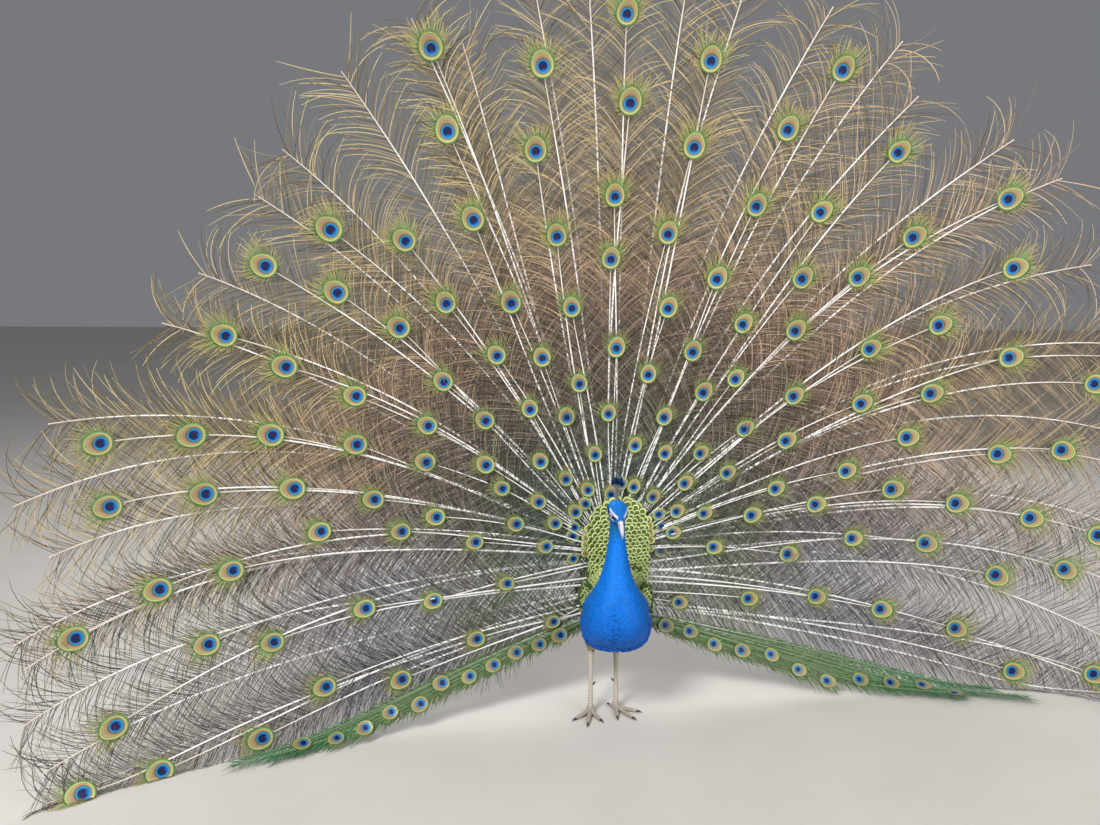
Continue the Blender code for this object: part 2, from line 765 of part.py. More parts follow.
def make_vent(look):
    """The fluffy feathers under the tail, behind the train's root."""
    rings = []
    for share in (0.0, 0.15, 0.4, 0.65, 0.88, 1.0):
        size = sin(pi * (0.06 + 0.88 * share)) ** 0.6
        ring = []
        for k in range(14):
            turn = 2 * pi * k / 14
            ring.append((0.074 * size * cos(turn), 0.012 + 0.105 * share,
                         -0.130 + 0.078 * size * sin(turn) - 0.015 * share))
        rings.append([tuple(p) for p in to_part(ring)])
    vent = add_object("vent", *loft(rings), look)
    cut_away(vent, [make_train_base(None, 2 * GAP, "cut_a")])
    return vent


def centre_on_floor():
    """Put the middle of the whole bird over the origin, with the soles on z = 0."""
    corners = [Vector(v.co) for o in bpy.data.objects if o.type == "MESH" for v in o.data.vertices]
    middle_x = (min(c.x for c in corners) + max(c.x for c in corners)) / 2
    middle_y = (min(c.y for c in corners) + max(c.y for c in corners)) / 2
    for item in bpy.data.objects:
        item.data.transform(Matrix.Translation((-middle_x, -middle_y, 0)))


def main():
    clear_scene()
    blue = material("breast_blue", (0.006, 0.095, 0.520), 0.55)
    neck = material("neck_blue", (0.006, 0.110, 0.560), 0.55)
    head = material("head_blue", (0.010, 0.075, 0.420), 0.55)
    belly = material("belly_dark", (0.020, 0.050, 0.090), 0.75)
    rump = material("rump_green", (0.090, 0.160, 0.030), 0.60)
    mantle = material("mantle_gold", (0.300, 0.330, 0.060), 0.50)
    train = material("train_olive", (0.120, 0.110, 0.055), 0.65)
    edge = material("edge_green", (0.030, 0.210, 0.070), 0.50)
    tail = material("tail_brown", (0.110, 0.075, 0.045), 0.75)
    wing = material("wing_barred", (0.260, 0.220, 0.160), 0.75)
    quill = material("primary_chestnut", (0.240, 0.095, 0.035), 0.70)
    fluff = material("vent_grey", (0.160, 0.140, 0.110), 0.90)
    thigh = material("thigh_buff", (0.330, 0.260, 0.170), 0.85)
    leg = material("leg_horn", (0.330, 0.270, 0.210), 0.60)
    claw = material("claw_dark", (0.090, 0.070, 0.055), 0.40)
    bill = material("bill_pale", (0.520, 0.480, 0.500), 0.40)
    eye = material("eye_dark", (0.020, 0.012, 0.008), 0.10)
    crest = material("crest_blue", (0.010, 0.070, 0.200), 0.55)

    make_body({"rump": rump, "trunk": belly, "breast": blue, "neck_lower": blue,
               "neck_upper": neck})
    make_face({"head": head, "eye": eye, "bill": bill, "crest": crest})
    make_mantle(mantle)
    make_train_base(rump)
    for number in range(BLADES):
        make_blade(number, train)
    for sign in (-1, 1):
        make_edge_blade(sign, edge)
    make_tail(tail)
    make_vent(fluff)
    for side, sign in (("left", 1), ("right", -1)):
        make_wing(side, sign, wing)
        make_primaries(side, sign, quill)
    for side, x, y, turn in LEGS:
        make_thigh(side, x, y, thigh)
        make_tarsus(side, x, y, leg)
        make_foot(side, x, y, turn, {"leg": leg, "claw": claw})
    centre_on_floor()


main()
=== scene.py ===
"""Looks of the life-size Indian peacock: skin, coat, train, light and camera.

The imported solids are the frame. Every feather here is mesh, placed from the same few
dimensions that shape the solids, and moved with them by one measured offset.
Units are metres, turns in the tables are degrees. The bird looks along -Y and +Z is up.
"""

import bpy
import numpy as np
from math import cos, pi, radians, sin
from mathutils import Euler, Matrix, Vector
from mathutils.bvhtree import BVHTree
from mathutils.kdtree import KDTree


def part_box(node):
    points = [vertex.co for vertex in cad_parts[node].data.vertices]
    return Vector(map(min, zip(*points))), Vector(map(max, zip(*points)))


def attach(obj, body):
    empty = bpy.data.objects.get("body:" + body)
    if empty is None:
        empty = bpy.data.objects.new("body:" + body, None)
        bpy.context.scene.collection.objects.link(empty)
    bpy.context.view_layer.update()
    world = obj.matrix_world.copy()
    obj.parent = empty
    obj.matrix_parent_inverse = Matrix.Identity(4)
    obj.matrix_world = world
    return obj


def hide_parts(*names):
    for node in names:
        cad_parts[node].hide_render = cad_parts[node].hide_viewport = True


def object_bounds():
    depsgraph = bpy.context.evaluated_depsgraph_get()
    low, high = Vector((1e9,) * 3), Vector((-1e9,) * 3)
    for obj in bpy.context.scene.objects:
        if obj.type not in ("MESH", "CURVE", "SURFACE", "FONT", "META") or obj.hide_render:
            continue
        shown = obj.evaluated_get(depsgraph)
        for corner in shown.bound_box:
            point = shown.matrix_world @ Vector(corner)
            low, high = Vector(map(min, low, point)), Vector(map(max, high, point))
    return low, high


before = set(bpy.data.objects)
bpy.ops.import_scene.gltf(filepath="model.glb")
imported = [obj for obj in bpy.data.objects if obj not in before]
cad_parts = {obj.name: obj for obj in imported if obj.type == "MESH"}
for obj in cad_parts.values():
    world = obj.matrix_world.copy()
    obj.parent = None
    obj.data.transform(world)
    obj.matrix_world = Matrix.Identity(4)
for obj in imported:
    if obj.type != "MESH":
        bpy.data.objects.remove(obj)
CAD_BOX = [list(corner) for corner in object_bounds()]

# ---- dimensions shared with the solids ----------------------------------------------------
TRAIN_ROOT = (0.012, 0.120, 0.428)
TRAIN_YAW = 15.5
TRAIN_SPREAD = 104.0
TRAIN_TILT = 0.078
TRAIN_CURL = 0.293
SIDE_CURL = 0.30
CURL_POWER = 1.32
DROOP = 38.0
DROOP_POWER = 2.06
DROOP_PEAK = 1.64
FEATHER_LENGTH = 1.45
LOW_START = 82.0
LOW_DROP = 0.160
EDGE_SPREAD = 118.0
EDGE_CURL = 0.60
FLOOR_CLEAR = 0.010
FLOOR_SOFT = 0.014
SHORT_ANGLE = -42.0
SHORT_WIDTH = 13.0
SHORT_SHARE = 0.13
BASE_FRONT = 0.030
TAIL_SPREAD = 84.0
TAIL_LENGTH = 0.430
TAIL_BEHIND = 0.0425
TAIL_FEATHERS = 20

BODY_X = 0.030
HEAD_X = 0.031
# y, height, pitch, half width, depth below and above the middle of each ring of the body
BODY_RINGS = np.array((
    (0.122, 0.392, -25, 0.036, 0.040, 0.026),
    (0.085, 0.366, -22, 0.062, 0.070, 0.042),
    (0.045, 0.336, -12, 0.079, 0.092, 0.056),
    (0.000, 0.318, 8, 0.0875, 0.106, 0.066),
    (-0.040, 0.318, 30, 0.0880, 0.115, 0.064),
    (-0.068, 0.336, 52, 0.0820, 0.106, 0.058),
    (-0.085, 0.366, 68, 0.0650, 0.082, 0.050),
    (-0.094, 0.405, 78, 0.0460, 0.060, 0.041),
    (-0.099, 0.445, 83, 0.0340, 0.043, 0.033),
    (-0.104, 0.485, 84, 0.0262, 0.032, 0.026),
    (-0.109, 0.525, 82, 0.0205, 0.025, 0.021),
    (-0.117, 0.562, 76, 0.0190, 0.022, 0.020),
    (-0.128, 0.596, 66, 0.0195, 0.022, 0.019),
))
BREAST_SQUARE = 0.30
HEAD_CENTRE = (HEAD_X, -0.146, 0.603)
HEAD_PITCH = 50.0
HEAD_YAW = 20.0
# place along the head, half width and half height
HEAD_RINGS = np.array((
    (-0.0320, 0.0060, 0.0060),
    (-0.0280, 0.0145, 0.0140),
    (-0.0180, 0.0225, 0.0205),
    (-0.0040, 0.0258, 0.0228),
    (0.0090, 0.0240, 0.0210),
    (0.0190, 0.0188, 0.0170),
    (0.0270, 0.0125, 0.0125),
    (0.0315, 0.0080, 0.0090),
))
BILL_LENGTH = 0.040
EYE_RADIUS = 0.0058
EYE_PLACE = (0.0095, 0.0205, 0.0045)
CREST_HEIGHT = 0.074
CREST_WIDTH = 0.052
MANTLE_FOOT = -0.150
MANTLE_TOP = 0.146
MANTLE_HALF = 0.088
MANTLE_X = 0.016
# side, x and y of the foot, and how many degrees its toes turn out
LEGS = (("right", -0.037, -0.012, 4.0), ("left", 0.033, 0.016, 38.0))
HOCK_BACK = 0.042
HOCK_Z = 0.172
JOINT_Z = 0.020
# each toe's angle outward from the middle one, and its length
TOES = (("inner", -34.0, 0.058), ("middle", 0.0, 0.076), ("outer", 36.0, 0.060),
        ("hind", 180.0, 0.028))

COAT_DEPTH = 0.0022               # the skin lies this far inside the solids
TUFT = 0.003                      # size of a tuft's patch on the map
MAP_EDGE = (0.003, 0.997)
UP = np.array([0.0, 0.0, 1.0])
LEVEL = np.array([1.0, 1.0, 0.0])  # times this, a vector loses its height
random = np.random.default_rng(2173)


def soft_step(value):
    value = np.clip(value, 0.0, 1.0)
    return value * value * (3 - 2 * value)


def paint(red, green, blue):
    """A screen colour, 0 to 255, as the linear colour that shaders use."""
    screen = np.array([red, green, blue]) / 255.0
    return np.where(screen <= 0.04045, screen / 12.92, ((screen + 0.055) / 1.055) ** 2.4)


def mix(first, second, share):
    share = np.asarray(share)[..., None]
    return first * (1 - share) + second * share


def unit(vectors):
    return vectors / np.maximum(np.linalg.norm(vectors, axis=-1, keepdims=True), 1e-9)


def join(*values):
    """Arrays broadcast together and stacked on a last axis."""
    return np.stack(np.broadcast_arrays(*values), axis=-1)


def between_rows(table, place):
    """A table's rows read at any place between them (Catmull-Rom)."""
    low = np.clip(np.floor(place), 0, len(table) - 2).astype(int)
    share = (place - low)[..., None]
    before = table[np.maximum(low - 1, 0)]
    start = table[low]
    end = table[low + 1]
    after = table[np.minimum(low + 2, len(table) - 1)]
    return 0.5 * (2 * start + (end - before) * share
                  + (2 * before - 5 * start + 4 * end - after) * share ** 2
                  + (3 * start - before - 3 * end + after) * share ** 3)


# ---- gathering mesh ------------------------------------------------------------------------
def enlist(item, slot, *nodes):
    """Ride on the one body and stand for the solids named. slot is not used."""
    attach(item, "root")
    if nodes:
        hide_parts(*nodes)
    return item


def tint_mesh(mesh, tints):
    rgba = np.concatenate([tints, np.ones((len(tints), 1))], axis=1)
    colour = mesh.attributes.new("tint", "FLOAT_COLOR", "POINT")
    colour.data.foreach_set("color", rgba.astype(np.float32).ravel())


class Batch:
    """Grids of points that become one mesh, with a colour and a map place at each point."""

    def __init__(self):
        self.grids = []
        self.count = 0

    def add(self, points, tints, places, closed=False):
        """Add n grids of rows by columns: points and tints end in 3, places in 2."""
        n, rows, columns = points.shape[:3]
        row = np.arange(rows - 1)[:, None] * columns
        column = np.arange(columns if closed else columns - 1)[None]
        after = (column + 1) % columns
        square = join(row + column, row + after, row + columns + after, row + columns + column)
        start = self.count + np.arange(n)[:, None, None] * (rows * columns)
        self.grids.append(((start + square.reshape(-1, 4)).reshape(-1, 4), points.reshape(-1, 3),
                           np.broadcast_to(tints, points.shape).reshape(-1, 3),
                           np.broadcast_to(places, points.shape[:3] + (2,)).reshape(-1, 2)))
        self.count += n * rows * columns

    def make(self, name, look, slot, *nodes):
        quads, points, tints, places = [np.concatenate(part) for part in zip(*self.grids)]
        mesh = bpy.data.meshes.new(name)
        mesh.vertices.add(len(points))
        mesh.vertices.foreach_set("co", points.astype(np.float32).ravel())
        mesh.loops.add(quads.size)
        mesh.loops.foreach_set("vertex_index", quads.astype(np.int32).ravel())
        mesh.polygons.add(len(quads))
        mesh.polygons.foreach_set("loop_start", np.arange(0, quads.size, 4, dtype=np.int32))
        mesh.update(calc_edges=True)
        tint_mesh(mesh, tints)
        chart = mesh.uv_layers.new(name="OFBake")
        chart.data.foreach_set("uv", places[quads.ravel()].astype(np.float32).ravel())
        mesh.shade_smooth()
        mesh.materials.append(look_from_tint(look))
        item = bpy.data.objects.new(name, mesh)
        bpy.context.scene.collection.objects.link(item)
        return enlist(item, slot, *nodes)


def tuft_patch(across, rows):
    """The small patch of the map that a tuft takes, row by row."""
    return join(across[None] * 0.5 * TUFT, (rows[:, None] - 0.5) * TUFT)


def vanes(lines, sides, half, tints, places, fold=0.0, lift=None):
    """Thin leaf shapes: n lines of rows points, with a width direction at each point.

    half is the half width at each point. The middle column may be folded up by fold.
    """
    across = np.array([-1.0, 0.0, 1.0]) if fold else np.array([-1.0, 1.0])
    points = lines[:, :, None] + sides[:, :, None] * (half[:, :, None, None] * across[:, None])
    if fold:
        rise = (1 - np.abs(across)) * fold
        points = points + lift[:, :, None] * (half[:, :, None] * rise)[..., None]
    patch = tuft_patch(across, np.linspace(0, 1, lines.shape[1]))
    return points, tints[:, :, None], places[:, None, None] + patch


def ring_round(path, first, second, turn, radii):
    """Rings round a path, from its first and second cross directions."""
    turn = turn[:, None]
    spokes = first[:, None] * np.cos(turn) + second[:, None] * np.sin(turn)
    return path[:, None] + spokes * radii[..., None]


# ---- materials -----------------------------------------------------------------------------
# roughness, metallic, scale of the noise, height of the bump, how far noise varies the colour
LOOKS = {
    "train_barb": (0.45, 0.10, 400.0, 0.2, 0.18), "train_quill": (0.35, 0.0, 250.0, 0.2, 0.06),
    "train_eye": (0.32, 0.20, 900.0, 0.5, 0.10), "body_feather": (0.50, 0.0, 500.0, 0.3, 0.12),
    "body_fluff": (0.75, 0.0, 500.0, 0.3, 0.15), "skin": (0.70, 0.0, 300.0, 0.3, 0.15),
    "mantle_feather": (0.45, 0.0, 700.0, 0.3, 0.12), "small_eye": (0.32, 0.20, 900.0, 0.5, 0.10),
    "bill_horn": (0.30, 0.0, 700.0, 0.15, 0.06), "wet_eye": (0.04, 0.0, 900.0, 0.0, 0.05),
    "bare_skin": (0.45, 0.0, 900.0, 0.4, 0.10), "brown_vane": (0.60, 0.0, 350.0, 0.5, 0.16),
    "brown_quill": (0.35, 0.0, 250.0, 0.2, 0.08), "leg_scale": (0.50, 0.0, 900.0, 0.6, 0.14),
    "claw_horn": (0.30, 0.0, 600.0, 0.2, 0.12),
}


def noisy_look(name, rough, grain, detail, depth):
    """A material with noise over the object's own coordinates, which also drives a bump."""
    look = bpy.data.materials.new(name)
    look.use_nodes = True
    nodes = look.node_tree.nodes
    links = look.node_tree.links
    shader = nodes["Principled BSDF"]
    shader.inputs["Roughness"].default_value = rough
    place = nodes.new("ShaderNodeTexCoord")
    noise = nodes.new("ShaderNodeTexNoise")
    noise.inputs["Scale"].default_value = grain
    noise.inputs["Detail"].default_value = detail
    links.new(place.outputs["Object"], noise.inputs["Vector"])
    bump = nodes.new("ShaderNodeBump")
    bump.inputs["Strength"].default_value = depth
    bump.inputs["Distance"].default_value = 0.001
    links.new(noise.outputs["Fac"], bump.inputs["Height"])
    links.new(bump.outputs["Normal"], shader.inputs["Normal"])
    return look, nodes, links, shader, noise


def look_from_tint(name):
    """A surface whose colour is the mesh's tint, broken up by fine noise."""
    if name in bpy.data.materials:
        return bpy.data.materials[name]
    rough, metal, grain, depth, vary = LOOKS[name]
    look, nodes, links, shader, noise = noisy_look(name, rough, grain, detail=3.0, depth=depth)
    shader.inputs["Metallic"].default_value = metal
    if name == "body_feather":
        shader.inputs["Specular IOR Level"].default_value = 0.25
    tint = nodes.new("ShaderNodeAttribute")
    tint.attribute_name = "tint"
    ramp = nodes.new("ShaderNodeMapRange")
    for socket, value in (("From Min", 0.3), ("From Max", 0.7), ("To Min", 1 - vary),
                          ("To Max", 1 + vary)):
        ramp.inputs[socket].default_value = value
    links.new(noise.outputs["Fac"], ramp.inputs["Value"])
    shade = nodes.new("ShaderNodeVectorMath")
    shade.operation = "SCALE"
    links.new(tint.outputs["Color"], shade.inputs[0])
    links.new(ramp.outputs["Result"], shade.inputs["Scale"])
    links.new(shade.outputs["Vector"], shader.inputs["Base Color"])
    return look


def look_of_floor(colour, dark):
    """The pale floor: one colour mottled by noise."""
    look, nodes, links, shader, noise = noisy_look("pale_floor", rough=0.85, grain=3.0,
                                                   detail=5.0, depth=0.1)
    ramp = nodes.new("ShaderNodeValToRGB")
    for stop, place, shade in zip(ramp.color_ramp.elements, (0.30, 0.70), (dark, 1.0)):
        stop.position = place
        stop.color = tuple(colour * shade) + (1.0,)
    links.new(noise.outputs["Fac"], ramp.inputs["Fac"])
    links.new(ramp.outputs["Color"], shader.inputs["Base Color"])
    return look


# ---- the train's surface -------------------------------------------------------------------
LINE_REACH = 1.65                 # length of the lines that the surface is read from
LINE_STEPS = 66
FAN_EDGE = 122.0                  # lines every degree from minus this to plus this
DROOP_ANGLE = 105.0


def raw_line(angle):
    """One feather's line over the fan, in the fan's own frame, at every reach step."""
    steps = np.linspace(0.0, LINE_REACH, LINE_STEPS + 1)
    middle = (steps[1:] + steps[:-1]) / 2 / FEATHER_LENGTH
    lean_out = abs(angle)
    droop = DROOP * sin(pi * min(lean_out / DROOP_ANGLE, 1.0) ** DROOP_PEAK)
    turn = np.radians(np.sign(angle) * (lean_out + droop * middle ** DROOP_POWER))
    curl = TRAIN_CURL * (1 + SIDE_CURL * (1 - cos(radians(lean_out))) / 2)
    low = max(0.0, (lean_out - TRAIN_SPREAD) / (EDGE_SPREAD - TRAIN_SPREAD))
    slope = TRAIN_TILT + curl * middle ** CURL_POWER + EDGE_CURL * low * middle
    way = unit(join(np.sin(turn), -slope, np.cos(turn)))
    line = np.concatenate([[[0.0, 0.0, 0.0]], np.cumsum(way * (steps[1] - steps[0]), axis=0)])
    line[:, 2] -= LOW_DROP * soft_step((lean_out - LOW_START) / (TRAIN_SPREAD - LOW_START))
    return line


def to_part(points):
    """From the fan's own frame to the solids' frame before they were centred."""
    points = np.asarray(points, float)
    yaw = radians(TRAIN_YAW)
    x = points[..., 0] * cos(yaw) - points[..., 1] * sin(yaw) + TRAIN_ROOT[0]
    y = points[..., 0] * sin(yaw) + points[..., 1] * cos(yaw) + TRAIN_ROOT[1]
    height = points[..., 2] + TRAIN_ROOT[2] - FLOOR_CLEAR
    z = FLOOR_CLEAR + FLOOR_SOFT * np.logaddexp(0, height / FLOOR_SOFT)
    return join(x, y, z)


def head_frame():
    """The head's frame: x to its side, y forward along the bill, z up over the crown."""
    pose = Matrix.Rotation(radians(HEAD_YAW), 4, "Z") @ Matrix.Rotation(radians(HEAD_PITCH), 4, "X")
    return Matrix.Translation(HEAD_CENTRE) @ pose @ Matrix.Rotation(pi, 4, "Z")


def centring():
    """How far the solids were moved when the whole bird was centred over the origin."""
    low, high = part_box("eye_left")
    along, side, up = EYE_PLACE
    return np.array((low + high) / 2 - head_frame() @ Vector((-side, along, up)))


SHIFT = centring()


class Fan:
    """The train's surface as a table of feather lines, read at any angle and reach."""

    def __init__(self):
        lines = [raw_line(angle) for angle in np.arange(-FAN_EDGE, FAN_EDGE + 0.5, 1.0)]
        self.table = to_part(np.array(lines)) + SHIFT

    def point(self, angle, reach):
        across = np.clip(np.asarray(angle, float) + FAN_EDGE, 0, len(self.table) - 1.001)
        along = np.clip(np.asarray(reach, float) * (LINE_STEPS / LINE_REACH), 0, LINE_STEPS - 0.001)
        i = across.astype(int)
        j = along.astype(int)
        b = (along - j)[..., None]
        near = self.table[i, j] * (1 - b) + self.table[i, j + 1] * b
        far = self.table[i + 1, j] * (1 - b) + self.table[i + 1, j + 1] * b
        return mix(near, far, across - i)

    def frame(self, angle, reach):
        """Place, direction outward, direction to the side and the way the front faces."""
        along = unit(self.point(angle, reach + 0.02) - self.point(angle, reach - 0.02))
        across = self.point(angle + 1.0, reach) - self.point(angle - 1.0, reach)
        front = unit(np.cross(along, across))
        front = np.where(front[..., 1:2] > 0, -front, front)
        return self.point(angle, reach), along, unit(np.cross(front, along)), front


FAN = Fan()

# ---- train feathers ------------------------------------------------------------------------
EYE_COLUMNS = 21                  # lines of eyes over the fan, every second one staggered
COLUMN_PITCH = 9.8                # degrees between them
COLUMN_START = -2.0               # the middle line's angle
FIRST_EYE = 0.195
EYE_STEP = 0.205                  # from eye to eye along one line
LAST_EYE = 1.43
ROOT_FAN = 6.0                    # feathers of one line spread this many degrees at the root
FORKS = 34
FORK_TIP = 1.565
EDGE_EYES = 13
EDGE_REACH = {-1: 0.98, 1: 1.14}  # the scimitars on the bird's left side are longer
EYE_ROOM = 0.036                  # no two eyes stand closer than this
BARB_STEP = 0.0066
BARB_LENGTH = 0.150
BARB_HALF = 0.00105
BARB_POINTS = 7
BARB_LEAN = 44.0                  # degrees between the quill and its lowest barbs
BARB_ARCH = (16.0, 36.0)          # degrees that a barb bends outward: least, and more by droop
FINE_SHARE = 0.45                 # share of the barbs that are fine, dull and straight
BARE_ROOT = 0.055                 # bare shaft before the first barbs
SHAFT_SIZE = 0.0039               # of the longest feathers at the root
SHAFT_AHEAD = 0.0024
SHAFT_STEP = 0.035
VANE_WIDTHS = (0.044, 0.022)      # of a scimitar, on its lower and its upper side
VANE_STEP = 0.0036
FLOOR_REST = 0.0035               # barbs that reach the floor lie on it
BOX_MARGIN = 0.010                # loose tips end within this of the solids' box
MAP_REACH = 1.66                  # reach at the far edge of the unwrapped fan
SECTORS = 7                       # the fan's feathers go into this many pieces of each kind
BLADES = 20

COPPER = paint(172, 140, 116)
ROSE = paint(178, 152, 148)
OLIVE = paint(154, 142, 100)
GOLD = paint(206, 188, 116)
SAGE = paint(122, 134, 112)
SLATE = paint(90, 98, 94)
LILAC = paint(118, 124, 136)
SMOKE = paint(120, 106, 92)
LEAF = paint(112, 140, 74)
HALO = paint(132, 166, 92)
EMERALD = paint(28, 138, 84)
MEADOW = paint(80, 120, 62)
SHAFT = paint(252, 250, 246)
SHAFT_BROWN = paint(190, 160, 128)


class Feather:
    """One train feather: its angle, the reach of its eye or fork, and how far forward it lies."""

    def __init__(self, angle, reach, kind):
        self.angle = angle
        self.reach = reach
        self.kind = kind
        limit = TRAIN_SPREAD - 1.0
        root = np.clip(angle + random.uniform(-ROOT_FAN, ROOT_FAN), -limit, limit)
        self.root_turn = 0.0 if kind == "edge" else float(root - angle)
        self.bow = random.normal(0, 1.5)
        self.warm = random.uniform(0, 1)
        self.droop = random.uniform(0, 1)
        self.forward = 0.016 * (1 - reach / 1.5) + random.uniform(-0.002, 0.002)
        if kind == "fork":
            self.forward = -0.004 + random.uniform(-0.002, 0.004)
        self.seed = random.integers(1 << 30)

    def frame(self, reach):
        share = np.asarray(reach) / self.reach
        rest = np.clip(1 - share, 0, 1)
        angle = self.angle + self.root_turn * rest ** 1.3 + self.bow * share * rest
        place, along, side, front = FAN.frame(angle, reach)
        return place + front * self.forward, along, side, front

    def has_eye(self):
        """The forked feathers have none, nor do the longest scimitars."""
        if self.kind == "edge":
            return self.reach < 0.86 * EDGE_REACH[int(np.sign(self.angle))] + 0.10
        return self.kind == "eye"

    def frame_at_eye(self):
        return [v[0] for v in self.frame(np.array([self.reach]))]


def shorter(angle):
    return float(1 - SHORT_SHARE * np.exp(-((angle - SHORT_ANGLE) / SHORT_WIDTH) ** 2))


def plan_train():
    """Staggered lines of eyed feathers, then the forked ones, then the scimitars below."""
    feathers = []
    taken = []
    for column in range(EYE_COLUMNS):
        middle = COLUMN_START + COLUMN_PITCH * (column - (EYE_COLUMNS - 1) / 2)
        reach = FIRST_EYE + EYE_STEP / 2 * (column % 2)
        while reach < LAST_EYE:
            angle = float(np.clip(middle + random.normal(0, 1.4), 1 - TRAIN_SPREAD, TRAIN_SPREAD - 1))
            where = (reach + random.normal(0, 0.013)) * shorter(angle)
            reach += EYE_STEP
            spot = FAN.point(angle, where)
            if all(np.linalg.norm(spot - other) > EYE_ROOM for other in taken):
                taken.append(spot)
                feathers.append(Feather(angle, where, "eye"))
    for k in range(FORKS):
        angle = -TRAIN_SPREAD + 2 * TRAIN_SPREAD * (k + 0.5) / FORKS + random.normal(0, 1.6)
        where = (FORK_TIP - abs(random.normal(0, 0.06))) * shorter(angle)
        feathers.append(Feather(float(angle), where, "fork"))
    for sign in (-1, 1):
        for k in range(EDGE_EYES):
            share = (k + 0.4) / EDGE_EYES
            angle = sign * (TRAIN_SPREAD + 2.0 + 7.0 * (1 - share) + random.uniform(-2.0, 2.0))
            feathers.append(Feather(float(angle), 0.15 + EDGE_REACH[sign] * share ** 1.1, "edge"))
    return feathers


def barb_tints(feather, reach, share, noise):
    """Colour at each point of each barb: reach along the feather, share along the barb."""
    # Painted sunlight and sheen: the barbs turn golder outward along each feather and most on the
    # fan's upper left, and rosier on its right side, over their own bronze.
    up = max(cos(radians(feather.angle)), 0.0)
    left = 0.5 - 0.5 * sin(radians(feather.angle))
    low = soft_step((abs(feather.angle) - 62) / 30)
    sunlit_gold = soft_step((reach - 0.55) / 0.6) * (0.25 + 0.55 * left * (0.4 + 0.6 * up))
    body = mix(SLATE, SMOKE, soft_step((reach - 0.16) / 0.30))
    body = mix(body, COPPER, soft_step((reach - 0.40) / 0.45) * (0.55 + 0.45 * feather.warm))
    body = mix(body, ROSE, 0.5 * soft_step((reach - 0.6) / 0.3) * (1 - left) * feather.warm)
    body = mix(body, OLIVE, sunlit_gold)
    body = mix(body, GOLD, sunlit_gold * soft_step(share) * 0.65)
    body = mix(body, LILAC, 0.80 * low * soft_step((reach - 0.25) / 0.3) * (1 - 0.5 * sunlit_gold))
    body = mix(body, SAGE, 0.45 * (1 - up) * soft_step((0.6 - reach) / 0.5))
    if feather.kind == "eye":
        near_eye = soft_step(1 - (feather.reach - reach) / 0.12)
        body = mix(body, LEAF, 0.70 * near_eye * (1 - 0.6 * share))
    return body * (0.22 + 1.75 * noise)[..., None]


def keep_inside(lines):
    """Shorten lines that would leave the solids' box, and lay them on the floor."""
    root = lines[:, :1]
    way = lines - root
    low = np.array(CAD_BOX[0]) - BOX_MARGIN
    high = np.array(CAD_BOX[1]) + BOX_MARGIN
    low[2] = -1.0
    still = np.abs(way) < 1e-6
    room = np.where(way > 0, high - root, low - root) / np.where(still, 1.0, way)
    share = np.clip(np.where(still, 1.0, room).min(axis=(1, 2)), 0.05, 1.0)
    lines = root + way * share[:, None, None]
    height = lines[..., 2] - FLOOR_REST
    lines[..., 2] = FLOOR_REST + 0.003 * np.logaddexp(0, height / 0.003)
    return lines


def add_ribbons(batch, root, sign, lean, turn, length, lift, half, tints, chart):
    """Flat ribbons that leave a feather's axis at the angle lean and bend by turn on their way.

    root holds the place, the feather's direction, its side and its front at each ribbon's start,
    sign says to which side it goes, and lift how far each of its points stands in front.
    """
    place, along, side, front = [value[:, None] for value in root]
    steps = lift.shape[1] - 1
    bend = lean[:, None] - turn[:, None] * (np.arange(steps) + 0.5) / steps
    step = (length / steps)[:, None]
    zero = np.zeros((len(bend), 1))
    out = np.concatenate([zero, np.cumsum(np.sin(bend) * step, axis=1)], axis=1)
    ahead = np.concatenate([zero, np.cumsum(np.cos(bend) * step, axis=1)], axis=1)
    lines = place + side * (out * sign)[..., None] + along * ahead[..., None]
    lines = keep_inside(lines + front * lift[..., None])
    ways = unit(np.gradient(lines, axis=1))
    batch.add(*vanes(lines, unit(np.cross(front, ways)), half, tints, chart))


def chart_place(feather, reach, sign=0):
    """A place on the unwrapped fan: angle across and reach along."""
    across = (feather.angle + EDGE_SPREAD) / (2 * EDGE_SPREAD) + sign * 0.0022
    return np.clip(join(across, reach / MAP_REACH), *MAP_EDGE)


def barb_reaches(feather, first, last, detail):
    """Places of the barbs along a feather, sparser over the hidden inner stretch."""
    middle = first + 0.38 * (last - first)
    inner = np.arange(first, middle, BARB_STEP * detail * (1.0 if feather.reach < 0.6 else 2.0))
    return np.concatenate([inner, np.arange(middle, last, BARB_STEP * detail)])


